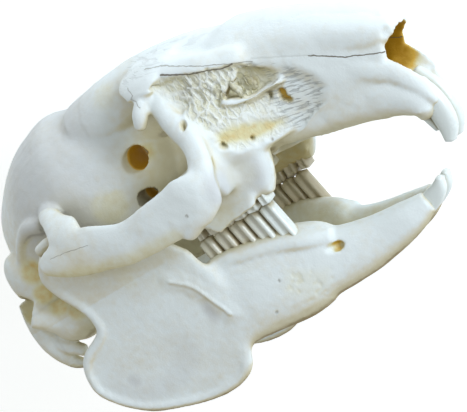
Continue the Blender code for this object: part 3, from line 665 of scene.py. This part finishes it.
def nose_inside(extra):
    """Septum and the rolled leaves of bone in the nose chamber."""
    extra.spine([(56, 30, 9, 0.3), (66, 28, 9, 0.3), (77, 25.6, 6.6, 0.3)], power=6)
    for row, (out, height) in enumerate([(3.4, 3.6), (3.9, 0.2), (3.2, -3.2)]):
        extra.pair([(57, out, 31.6 + height, 1.1, 0.9), (64, out + 0.2, 29.4 + height, 1.3, 1.1),
                    (72, out - 0.6, 27.2 + height * 0.8, 1.1, 0.9),
                    (79 - row, out - 1, 25.6 + height * 0.7, 0.6, 0.5)], ring=12)


def cheek_lattice(extra):
    """Struts of the open-work bone in front of the orbit."""
    outs = (11.2, 10.8, 10.4, 10.0, 9.7, 9.2, 8.6)
    extra.pair([(x, out, z, 0.42, 0.5) for (x, z), out in zip(WINDOW_STRUT, outs)], ring=12)
    extra.pair([(60.2, 11.2, 33.6, 0.4, 0.5), (60.8, 11, 32, 0.35, 0.4), (60.4, 10.8, 30.4, 0.4, 0.5)],
               up=FORE, ring=10)
    extra.pair([(62.8, 10.2, 34.2, 0.3, 0.4), (62.3, 9.8, 32.2, 0.25, 0.3), (62.9, 9.4, 30, 0.3, 0.4)],
               up=FORE, ring=8)


def cranium():
    bone, hollow, extra = Pile(), Pile(), Pile()
    braincase(bone)
    ear_region(bone, hollow)
    muzzle(bone)
    orbit_rim(bone)
    cheek(bone)
    cheek_arch(bone)
    skull_hollows(hollow)
    nose_inside(extra)
    cheek_lattice(extra)
    return fused_bone("cranium", bone, hollow, extra)


def ramus_out(x, z):
    """How far the jaw's upright plate stands from the midline."""
    return 12.9 + 0.1 * z - 0.11 * (x - 27)


def jaw(sign):
    """One half of the lower jaw."""
    bone, hollow = Pile(), Pile()
    bone.strand([(76, 1.9, 0.5, 1.8, 1.6), (72, 2.6, -0.3, 3, 2.2), (66, 3.5, -0.8, 4, 2.6),
                 (60, 4.8, -0.4, 5.1, 2.9), (56, 5.8, 0.8, 6.9, 3.1), (51, 7, 1.5, 8, 3.2),
                 (45, 8.5, 2.1, 8, 3), (39, 10.2, 2.6, 7.9, 2.2), (35, 11.2, 3.4, 6.6, 1.1)], power=2.3)
    bone.strand([(41, 10.2, 9.2, 1.6, 1.6), (46, 9.4, 8.4, 1.7, 1.7), (51, 8.2, 7, 1.8, 1.9),
                 (56, 7, 5.2, 2, 2.2), (60, 5.8, 3.4, 1.8, 1.8)])
    bone.plate(RAMUS, ramus_out, 1.3)
    inward = np.mean(RAMUS, axis=0) - RAMUS[:RIM_POINTS]
    inward /= np.linalg.norm(inward, axis=1)[:, None]
    rim = RAMUS[:RIM_POINTS] + inward * RIM_SIZE * RIM_INSET
    bone.strand([(x, ramus_out(x, z), z, RIM_SIZE, RIM_SIZE) for x, z in rim], up=OUT, ring=14, steps=3)
    bone.strand([(18, 16.9, 26.2, 1.1, 1.3), (21, 17, 26.5, 1.2, 1.4), (25, 16.6, 26, 0.9, 1.1)], ring=14)
    hollow.strand([(58.4, 9.6, 2.6, 0.9, 0.9), (61.4, 6.4, 1.6, 0.8, 0.8)], ring=10)
    if sign < 0:
        bone, hollow = bone.mirrored(), hollow.mirrored()
    surface = fused_bone("jaw", bone, hollow, Pile())
    inner = sign * surface.points[:, 1] < JAW_CLEARANCE
    surface.points[inner, 1] = sign * JAW_CLEARANCE
    return surface


def cheek_teeth(sign, upper):
    """A row of cheek teeth as ridged columns."""
    row = Pile()
    if upper:
        front_x, pitch = 55.4, 2.75
        for i, half_length in enumerate([0.9, 1.25, 1.3, 1.3, 1.25, 0.7]):
            x = front_x - pitch * i
            row.strand([(x, sign * 8.7, 18, 2.1, half_length),
                        (x + 0.1, sign * 8.5, OCCLUSAL + 0.3, 2, half_length)],
                       up=OUT, ring=40, power=2.6, groove=0.35)
    else:
        front_x, pitch = 53.9, 3.1
        for i in range(5):
            x, y = front_x - pitch * i, sign * (7.4 + 0.36 * i)
            row.strand([(x + 1.8, y, 3, 1.5, 1.42), (x, y, OCCLUSAL - 0.3, 1.4, 1.42)], up=OUT, ring=40,
                       power=2.3, steps=8, groove=0.5)
    return row


def front_teeth():
    """The curved incisors and the small peg teeth, in the skull's frame."""
    made = {}
    for side, sign in SIDES:
        upper, peg, lower = (made.setdefault(kind + side, Pile()) for kind in (
            "upper_incisor_", "peg_tooth_", "lower_incisor_"))
        y = 1.65 * sign
        upper.strand([(83.8, y, 18.6, 1.8, 1.35), (85.4, y, 15.4, 1.95, 1.4), (86, y, 12.2, 1.9, 1.45),
                      (85.8, y, 9.6, 1.65, 1.4), (84.9, y, 7.3, 0.9, 1.25)],
                     up=FORE, power=2.6, ring=32, steps=10)
        y = 1.5 * sign
        peg.strand([(82.6, y, 14.5, 0.7, 0.8), (83.4, y, 11.6, 0.6, 0.7), (83.8, y, 9.6, 0.4, 0.55)],
                   up=FORE, ring=10, steps=3)
        lower.strand([(72.5, y, -0.4, 1.7, 1.15), (76, y, 0.3, 1.65, 1.25), (78.4, y, 1.4, 1.35, 1.25),
                      (79.8, y, 2.9, 0.6, 1.1)], power=2.6, ring=32, steps=10)
    return made


def bone_regions(points):
    """Which bone each point of the cranium belongs to: the cuts of the solids, made a little wavy."""
    x, y, z = warped(points, points, 0.3, 1.6, (1, 2, 3)).T
    turn = math.radians(NASAL_SLOPE)
    along = (x - NASAL_PIVOT[0]) * math.cos(turn) - (z - NASAL_PIVOT[1]) * math.sin(turn)
    above = (x - NASAL_PIVOT[0]) * math.sin(turn) + (z - NASAL_PIVOT[1]) * math.cos(turn)
    names = np.full(len(points), "maxillae", "U20")
    names[z > FRONTAL_BASE_Z] = "frontal_bones"
    names[x > PREMAXILLA_X] = "premaxillae"
    names[(above > 0) & (along > NASAL_START)] = "nasal_bones"
    names[x < CORONAL_X] = "braincase"
    for side, sign in SIDES:
        for bone, (out, low_x, high_x, low_z, high_z) in SIDE_CUTS.items():
            names[(sign * y > out) & (x > low_x) & (x < high_x) & (z > low_z) & (z < high_z)] = bone + side
    return names


class Nodes:
    """The node tree of a new material. A value is a number, a vector, a colour or a node's output."""

    def __init__(self, name):
        self.material = bpy.data.materials.new(name)
        self.material.use_nodes = True
        self.tree = self.material.node_tree

    def feed(self, node, inputs):
        for title, value in inputs.items():
            socket = node.inputs[title]
            if hasattr(value, "is_output"):
                self.tree.links.new(value, socket)
            else:
                socket.default_value = (*value, 1) if socket.type == "RGBA" else value

    def surface(self, inputs):
        """The material, with these inputs of its shader set."""
        self.feed(self.tree.nodes["Principled BSDF"], inputs)
        return self.material

    def node(self, kind, inputs, output=0, **settings):
        made = self.tree.nodes.new("ShaderNode" + kind)
        for title, value in settings.items():
            setattr(made, title, value)
        self.feed(made, inputs)
        return made.outputs[output]

    def attribute(self, name, output="Fac"):
        return self.node("Attribute", {}, output, attribute_name=name)

    def maths(self, operation, total, *others):
        for value in others:
            total = self.node("Math", {0: total, 1: value}, operation=operation)
        return total

    def plus(self, *values):
        return self.maths("ADD", *values)

    def times(self, *values):
        return self.maths("MULTIPLY", *values)

    def most(self, *values):
        return self.maths("MAXIMUM", *values)

    def centred(self, value, amount):
        """A noise value from 0 to 1 as a change of up to half the amount either way."""
        return self.times(self.maths("SUBTRACT", value, 0.5), amount)

    def eased(self, value, start, end):
        """0 at start, 1 at end and smooth between."""
        return self.node("MapRange", {"Value": value, "From Min": start, "From Max": end},
                         interpolation_type="SMOOTHSTEP")

    def vector(self, operation, *values):
        """Vector maths. A dot product and a length are numbers."""
        second = "Scale" if operation == "SCALE" else 1
        output = "Value" if operation in ("DOT_PRODUCT", "LENGTH") else "Vector"
        return self.node("VectorMath", dict(zip((0, second), values)), output, operation=operation)

    def mix(self, factor, a, b):
        """From colour a to colour b."""
        return self.node("Mix", {0: factor, 6: a, 7: b}, 2, data_type="RGBA")

    def ramp(self, factor, stops):
        """The colour at a place between the stops."""
        node = self.tree.nodes.new("ShaderNodeValToRGB")
        elements = node.color_ramp.elements
        while len(elements) < len(stops):
            elements.new(0.5)
        for element, (place, colour) in zip(elements, stops):
            element.position = place
            element.color = (*colour, 1)
        self.feed(node, {"Fac": factor})
        return node.outputs[0]

    def noise(self, place, scale, detail=4, output=0):
        return self.node("TexNoise", {"Vector": place, "Scale": scale, "Detail": detail}, output)

    def web(self, place, scale):
        """Distance from the walls of uneven cells."""
        return self.node("TexVoronoi", {"Vector": place, "Scale": scale}, "Distance",
                         feature="DISTANCE_TO_EDGE")

    def line(self, place, path, half_width):
        """1 on a broken line of points (x, z), fading to 0 at its edges and at its two ends."""
        flat, nearest = self.vector("MULTIPLY", place, (1, 0, 1)), None
        for (ax, az), (bx, bz) in zip(path, path[1:]):
            way = Vector((bx - ax, 0, bz - az))
            from_a = self.vector("SUBTRACT", flat, (ax, 0, az))
            along = self.vector("DOT_PRODUCT", from_a, tuple(way / way.length_squared))
            foot = self.vector("SCALE", tuple(way), self.node("Clamp", {"Value": along}))
            distance = self.vector("LENGTH", self.vector("SUBTRACT", from_a, foot))
            nearest = self.maths("MINIMUM", nearest, distance) if nearest else distance
        return self.eased(nearest, half_width, half_width * 0.3)

    def bump(self, height, strength, depth):
        return self.node("Bump", {"Strength": strength, "Distance": depth, "Height": height})


def bone_material():
    """Bleached bone: blue-white where it is open, with painted shade from cream to olive-brown in the
    hollows.
    """
    bone = Nodes("bleached_bone")
    place = bone.attribute("skull_mm", "Vector")
    painted_shade, blue, open_work, streaks, stained_or_shaded, side, seam, glow = map(bone.attribute, (
        "painted_shade", "blue", "open", "streaks", "stain_and_shade", "side", "seam", "glow"))
    mottle = bone.noise(place, 0.9, 6)
    # Painted shade: darker the more enclosed a point is and the more it faces away from the light, with
    # uneven tone
    shade = bone.plus(painted_shade, bone.centred(bone.noise(place, 0.13), 0.5), bone.centred(mottle, 0.3))
    base = bone.mix(blue, bone.ramp(shade, BONE_SHADE_TONES), BLUE_GREY)
    # Open-work bone: a white net over cream cells, and streaks in front of it
    wobble = bone.vector("SCALE", bone.vector("SUBTRACT", bone.noise(place, 1.1, 2, 1), (0.5,) * 3), 0.9)
    bent = bone.vector("ADD", place, wobble)
    long_web = bone.web(bone.vector("MULTIPLY", bent, (1.0, 0.5, 0.42)), 1.0)
    fine_net = bone.times(bone.eased(bone.web(bent, 1.5), 0.16, 0.02), 0.35)
    net = bone.most(bone.eased(long_web, 0.2, 0.02), fine_net)
    cream = bone.mix(bone.eased(mottle, 0.35, 0.65), CELL_CREAM, CELL_TAN)
    base = bone.mix(bone.times(open_work, 0.8), base, bone.mix(net, cream, NET_WHITE))
    slant = bone.node("CombineXYZ", {0: bone.vector("DOT_PRODUCT", place, (0.36, 0, -0.1)),
                                     2: bone.vector("DOT_PRODUCT", place, (0.68, 0, 2.5))})
    dark_streak = bone.times(streaks, bone.eased(bone.noise(slant, 1.0, 2), 0.49, 0.40))
    base = bone.mix(bone.times(dark_streak, 0.55), base, STREAK_GREY)
    # Stain and painted shade, darker in enclosed places, drawn lines and seams
    deep = bone.times(stained_or_shaded, bone.plus(bone.times(painted_shade, 0.5), 0.7))
    stain_and_shade = bone.ramp(bone.plus(deep, bone.centred(mottle, 0.45)), STAIN_AND_SHADE_TONES)
    colour = bone.mix(bone.eased(stained_or_shaded, 0.0, 0.55), base, stain_and_shade)
    rough_edge = bone.vector("ADD", place, bone.vector("SCALE", wobble, 0.4))
    lines = bone.most(*(bone.times(bone.line(rough_edge, path, half_width), strength)
                        for path, half_width, strength in DRAWN_LINES))
    lines = bone.times(lines, side)
    fine = bone.plus(bone.times(mottle, 2.0), bone.noise(place, 3.5))
    height = bone.plus(bone.times(fine, 0.18), bone.times(open_work, net), bone.times(dark_streak, -1.0),
                       bone.times(lines, -1.0))
    return bone.surface({
        "Base Color": bone.mix(bone.most(lines, seam), colour, LINE_BROWN),
        # Painted glow: emission where the bone is stained or shaded and on the wall between the orbits
        "Emission Color": stain_and_shade,
        "Emission Strength": bone.plus(bone.times(glow, ORBIT_GLOW), bone.times(stained_or_shaded, PAINTED_GLOW)),
        "Specular IOR Level": 0.35,
        "Roughness": bone.plus(bone.times(mottle, 0.25), 0.4),
        "Normal": bone.bump(height, 0.6, 0.0003)})


def enamel_material():
    """Tooth enamel: glossy blue-white with faint streaks along the tooth, and painted shade, tan on the far
    teeth.
    """
    enamel = Nodes("tooth_enamel")
    place = enamel.attribute("skull_mm", "Vector")
    cloud = enamel.noise(place, 0.5)
    shade = enamel.plus(enamel.times(enamel.attribute("painted_shade"), 0.8), enamel.centred(cloud, 0.3))
    return enamel.surface({
        "Base Color": enamel.mix(enamel.attribute("stain_and_shade"), enamel.ramp(shade, ENAMEL_SHADE_TONES), TOOTH_TAN),
        "Coat Weight": 0.35,
        "Coat Roughness": 0.15,
        "Roughness": enamel.plus(enamel.times(cloud, 0.15), 0.22),
        "Normal": enamel.bump(enamel.noise(place, 2.5, 3), 0.2, 0.0001)})


def lay_matrix(tooth):
    """From the skull's frame to the world. One tooth, shaped as its solid is, shows where the frame lies."""
    turn = Matrix.Rotation(math.radians(LIE_PITCH), 4, "Y") @ Matrix.Rotation(math.radians(LIE_ROLL), 4, "X")
    turned = lay_points(np.array(tooth.points), turn)
    low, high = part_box("peg_tooth_right")
    middle = (np.array(low) + np.array(high)) / 2 / MM
    base = (turned.min(0) + turned.max(0)) / 2 - middle
    return Matrix.Scale(MM, 4) @ Matrix.Translation(-Vector(base)) @ turn


def inward_faces(surface):
    """1 on faces that look towards the midline."""
    return ramp(-np.sign(surface.points[:, 1]) * surface.normals()[:, 1], 0.0, 0.5)


def stains_and_shade(surface):
    """Staining in the deep openings, tan patches, and painted shade under the cheek arch and on the inner
    sides that face the palate and the tongue.
    """
    folded = surface.points * [1, 0, 1] + np.abs(surface.points) * [0, 1, 0]
    x, y, z = folded.T
    total, tan = np.zeros(len(x)), np.zeros(len(x))
    for centre, radius, strength, widest in STAIN_SPOTS:
        near = ramp(apart(folded, centre, radius), 1.0, 0.55)
        total = np.maximum(total, strength * near * ramp(y, widest + 0.4, widest - 0.4))
    for centre, radius, strength in TAN_SPOTS:
        tan = np.maximum(tan, strength * ramp(apart(folded, centre, radius), 1.0, 0.4))
    total *= ramp(surface.paint["painted_shade"], 0.06, 0.26)
    # Painted shade on the inner sides by the palate and the tongue, and along the cheek arch's lower edge
    palate = inward_faces(surface) * between(x, 42, 48, 72, 80) * (z < 25) * (y > 1.5)
    under = 0.26 * ramp(line_distance(folded[:, [0, 2]], SHADED_ARCH), 2.4, 0.4) * (y > 17.5)
    return np.maximum.reduce([total, tan, under, palate * np.where(z > UPPER_Z, 0.24, 0.16)])


def painted_facing_shade(surface):
    """Painted shade: more cream on the faces that look down or inward to the palate, and a greyer back of the
    head.
    """
    x, y, z = surface.points.T
    inward = inward_faces(surface) * between(x, 42, 48, 66, 72)
    inward *= (z > UPPER_Z) * (z < 25) * (abs(y) > 1.5)
    rear = 0.14 * ramp(x, 38, 26) * (z > 14)
    below = (0.6 + 0.5 * (z < 6)) * ramp(-surface.normals() @ np.array(DORSAL), -0.1, 0.9)
    return below + rear + 0.8 * inward


def side_view(surface):
    """Points as (x, z), how far each faces sideways, and how far out it lies."""
    return surface.points[:, [0, 2]], np.abs(surface.normals()[:, 1]), np.abs(surface.points[:, 1])


def carve_cranium(surface):
    """Open-work bone, striated bone in front of it, small holes and fine unevenness."""
    x, y, z = surface.points.T
    saddle = between(x, 49.5, 52, 65, 69) * between(z, 14.6, 16, 27, 30.5) * (abs(y) > 6.5)
    roof = between(x, 43, 47, 66, 72) * ramp(z, 34, 37.5) * (abs(y) < 11.5)
    muzzle_side = between(x, 58, 63, 77, 80.5) * ramp(z, 14, 16.5) * (abs(y) > 4.2)
    surface.soften(np.maximum(saddle, muzzle_side), 45)
    surface.soften(roof, 5)
    surface.soften(roof * ramp(x, 52, 56), 22)
    surface.push(0.1 * grain_noise(surface.points, 3.5, 31) + 0.035 * grain_noise(surface.points, 1.3, 32))
    flat, sideways, out = side_view(surface)
    outer = ramp(sideways, 0.15, 0.45) * (out > 6.4)
    warp = warped(flat, surface.points, 0.3, 1.1, (11, 12))
    area = ramp(depth_inside(warp, OPENWORK), 0.0, 0.9) * outer
    rear, front = ramp(flat[:, 0], 68, 64), ramp(flat[:, 0], 63.5, 67)
    ragged = 0.25 + 0.75 * ramp(apart(flat, (58.5, 33.5)), 8, 3.5)
    wall, value = cells(warp, (1.0, 2.6), 20, 5)
    small_wall, small_value = cells(warp, (0.9, 0.9), 0, 8)
    net = rear * ragged * (0.1 + 0.5 * value) * ramp(wall, 0.02, 0.5)
    net += rear * ragged * 0.14 * small_value * ramp(small_wall, 0.05, 0.4)
    pocket = ramp(depth_inside(warp, YELLOW_POCKET), -0.1, 0.5)
    ochre = ramp(depth_inside(warp, OCHRE_PATCH), -0.9, 1.1)
    fossa = outer * ramp(flat[:, 0], 61, 67) * ramp(depth_inside(flat, OPENWORK), -0.8, 2.4)
    net *= 1 - 0.8 * np.maximum(pocket, ochre)
    depth = 0.8 * fossa + area * (0.5 * rear + net + 0.6 * pocket + 0.4 * ochre)
    for hole_x, hole_z, width in SMALL_HOLES:
        away = apart(warp, (hole_x, hole_z), (1, 1 / 0.6))
        depth += outer * 1.2 * ramp(away, width, width * 0.4)
    strut = ramp(line_distance(flat, WINDOW_STRUT), 0.7, 0.35)
    depth *= 1 - strut
    surface.push(-depth)
    window = ramp(depth_inside(warp, WINDOW), -0.5, 0.3)
    frontals = between(x, 43, 46, 58, 66) * ramp(z, 40, 42) * (out > 2)
    flank = ramp(apart(flat, (56.6, 19.8), (3.6, 4.6)), 1.1, 0.4) * (out > 9)
    vault = between(x, 10, 17, 30, 39) * ramp(z, 15, 21) * (out < 15)
    open_part = 1 - strut
    surface.paint = {
        "stain_and_shade": outer * (area * (0.44 * ochre + 0.16 * pocket) + 0.2 * window) * open_part,
        "open": area * rear * (0.3 + 0.7 * ragged) * open_part * (1 - 0.5 * ochre),
        "streaks": np.maximum(area * front * open_part, 0.3 * frontals),
        "side": ramp(sideways, 0.1, 0.3) * (out > 3.4),
        # Blue-grey painted shade on the side of the braincase and in the hollow over the cheek teeth
        "blue": np.maximum(0.62 * vault, 0.75 * flank),
        # Painted glow on the thin wall between the orbits
        "glow": ramp(np.linalg.norm((x - 41, abs(y) - 5, z - 29), axis=0), 8, 3),
        "seam": 0.7 * outer * pits(warp)}


def pits(flat):
    """Small dark pores at set places (x, z)."""
    return sum(ramp(apart(flat, pit), 0.34, 0.1) for pit in PITS)


def carve_jaw(surface):
    """Hollow for the chewing muscle with its crest, and the porous patch."""
    x, y, z = surface.points.T
    surface.soften(between(x, 32, 34, 42, 45) * between(z, -8, -6, 12, 14) * (abs(y) > 9), 60)
    surface.push(0.08 * grain_noise(surface.points, 4.5, 41) + 0.02 * grain_noise(surface.points, 1.3, 42))
    flat, sideways, out = side_view(surface)
    outer = ramp(sideways, 0.1, 0.5) * (out > 4)
    warp = warped(flat, surface.points, 0.25, 1.2, (43, 44))
    away = line_distance(warp, JAW_RIDGE)
    porous = ramp(depth_inside(warp, POROUS_PATCH), -1.2, 1.8)
    pores = porous * ramp(grain_noise(surface.points, 0.7, 45), 0.2, 0.6)
    crest = 0.2 * ramp(away, 0.5, 0.1) + 0.25 * ramp(away, 2.4, 0.0)
    surface.push(outer * (crest - 0.08 * pores - 0.12 * pits(flat)))
    ring = apart(warp, (22.0, 0.5), (9.5, 6.5))
    patch = ramp(ring, 1.15, 0.85) * ramp(ring, 0.2, 0.7) * ramp(flat[:, 1], 5, -2)
    spot = ramp(apart(warp, DARK_SPOT), 2.2, 0.2)
    under_crest = ramp(apart(warp, (37.2, 3.0), (1.4, 2.6)), 1.2, 0.2)
    surface.paint = {title: np.zeros(len(flat)) for title in ("open", "streaks", "side", "glow")}
    surface.paint["stain_and_shade"] = outer * (0.17 * porous + 0.06 * pores)
    # Blue-grey: a lavender ring and a dark spot on the plate, and painted shade under the crest
    surface.paint["blue"] = outer * np.maximum.reduce([0.22 * patch, 0.5 * spot, 0.6 * under_crest])
    surface.paint["seam"] = 0.6 * outer * pits(flat)


def main():
    teeth = front_teeth()
    lay = lay_matrix(teeth["peg_tooth_right"])
    head = cranium()
    jaws = {side: jaw(sign) for side, sign in SIDES}
    carve_cranium(head)
    for surface in jaws.values():
        carve_jaw(surface)
    rows = {row + "_cheek_teeth_" + side: cheek_teeth(sign, row == "upper")
            for row in ("upper", "lower") for side, sign in SIDES}
    tree = bone_tree([head, *jaws.values()], [*teeth.values(), *rows.values()])
    bone, enamel = bone_material(), enamel_material()
    rays = RAYS
    for surface in [head, *jaws.values()]:
        # Painted shade from how enclosed each point is, and more on faces turned away from the light
        surface.paint["painted_shade"] = surface.painted_shade(tree, REACH, rays)
        surface.paint["stain_and_shade"] = np.maximum(surface.paint["stain_and_shade"], stains_and_shade(surface))
        surface.paint["painted_shade"] = surface.paint["painted_shade"] + painted_facing_shade(surface)
    names = bone_regions(head.points)
    corner_names = names[head.faces[:, 0]]
    mark = np.zeros(len(head.points))
    for a, b in head.edges[names[head.edges[:, 0]] != names[head.edges[:, 1]]]:
        mark[[a, b]] = SEAMS.get(tuple(sorted((names[a], names[b]))), 0.0)
    mark = head.spread(mark, 2)
    head.push(-SEAM_DEPTH * mark)
    head.paint["seam"] = np.maximum(head.paint["seam"], 0.5 * mark)
    normals = head.normals()
    for name in sorted(set(names)):
        made = head.piece(name + "_bone", corner_names == name, normals, lay)
        finish_piece(made, bone, name)
    for side, surface in jaws.items():
        name = "mandible_" + side
        made = surface.piece(name + "_bone", np.ones(len(surface.faces), bool), surface.normals(), lay)
        finish_piece(made, bone, name)
    for name, pile in teeth.items():
        finish_piece(tooth_object(name + "_tooth", pile, lay, tree), enamel, name)
    for name, pile in rows.items():
        finish_piece(tooth_object(name, pile, lay, tree), enamel)


def tooth_object(name, pile, lay, tree):
    made = pile.object(name)
    points = np.array(pile.points)
    made.data.shade_smooth()
    normals = np.array([v.normal for v in made.data.vertices])
    give(made.data, "painted_shade", sheltered(points, normals, tree, TOOTH_REACH, TOOTH_RAYS))
    # Painted shade: tan on the far cheek teeth and towards the back of the near ones
    tan = (points[:, 0] < 60) * np.where(points[:, 1] > 0, 0.8, 0.45 * ramp(points[:, 0], 54, 48))
    give(made.data, "stain_and_shade", tan)
    give(made.data, "skull_mm", points)
    made.data.vertices.foreach_set("co", boxed(lay_points(points, lay)).ravel())
    return made


def finish_piece(made, material, node=None):
    made.data.materials.append(material)
    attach(made, "root")
    if node:
        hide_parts(node)


def camera(lay):
    turn = lay.to_3x3().normalized()
    position = Vector(VIEW_CENTRE) - VIEW_DISTANCE * Vector(VIEW_DIRECTION)
    right, up = turn @ Vector(VIEW_RIGHT), turn @ Vector(VIEW_UP)
    back = -(turn @ Vector(VIEW_DIRECTION))
    data = bpy.data.cameras.new("camera")
    made = linked("camera", data)
    rotation = Matrix((right, up, back)).transposed().to_4x4()
    made.matrix_world = Matrix.Translation(lay @ position) @ rotation
    data.sensor_width = 36.0
    data.lens = FOCAL_PIXELS / IMAGE_WIDTH * data.sensor_width
    data.clip_start = 0.01
    bpy.context.scene.camera = made
    return made


def lamp(name, place, kind):
    data = bpy.data.lights.new(name, "AREA")
    data.size, data.energy, data.color = kind
    made = linked(name, data)
    made.location = place
    made.rotation_euler = (Vector(LAMPS_AIM) - place).to_track_quat("-Z", "Y").to_euler()


def studio(lay):
    """Plain pale floor, a soft key from the side that the picture shows as its top, and a bright room."""
    view = camera(lay)
    mesh = bpy.data.meshes.new("floor")
    side = FLOOR_HALF_WIDTH
    mesh.from_pydata([(-side, -side, 0), (side, -side, 0), (side, side, 0), (-side, side, 0)], [],
                     [(0, 1, 2, 3)])
    floor = linked("floor", mesh)
    mesh.materials.append(Nodes("pale_floor").surface({
        "Base Color": (0.9,) * 3, "Roughness": 0.8, "Emission Color": FLOOR_GLOW[0],
        "Emission Strength": FLOOR_GLOW[1]}))
    turn = view.matrix_world.to_3x3()
    lamp("key", turn @ Vector((0.45, 0.4, 0.75)), KEY)
    lamp("fill", turn @ Vector((0.4, -0.4, 0.9)), FILL)
    world = bpy.data.worlds.new("room")
    bpy.context.scene.world = world
    world.use_nodes = True
    background = world.node_tree.nodes["Background"]
    background.inputs["Color"].default_value = (*ROOM[0], 1)
    background.inputs["Strength"].default_value = ROOM[1]
    bpy.context.scene.view_settings.view_transform = "Standard"


main()
studio(lay_matrix(front_teeth()["peg_tooth_right"]))
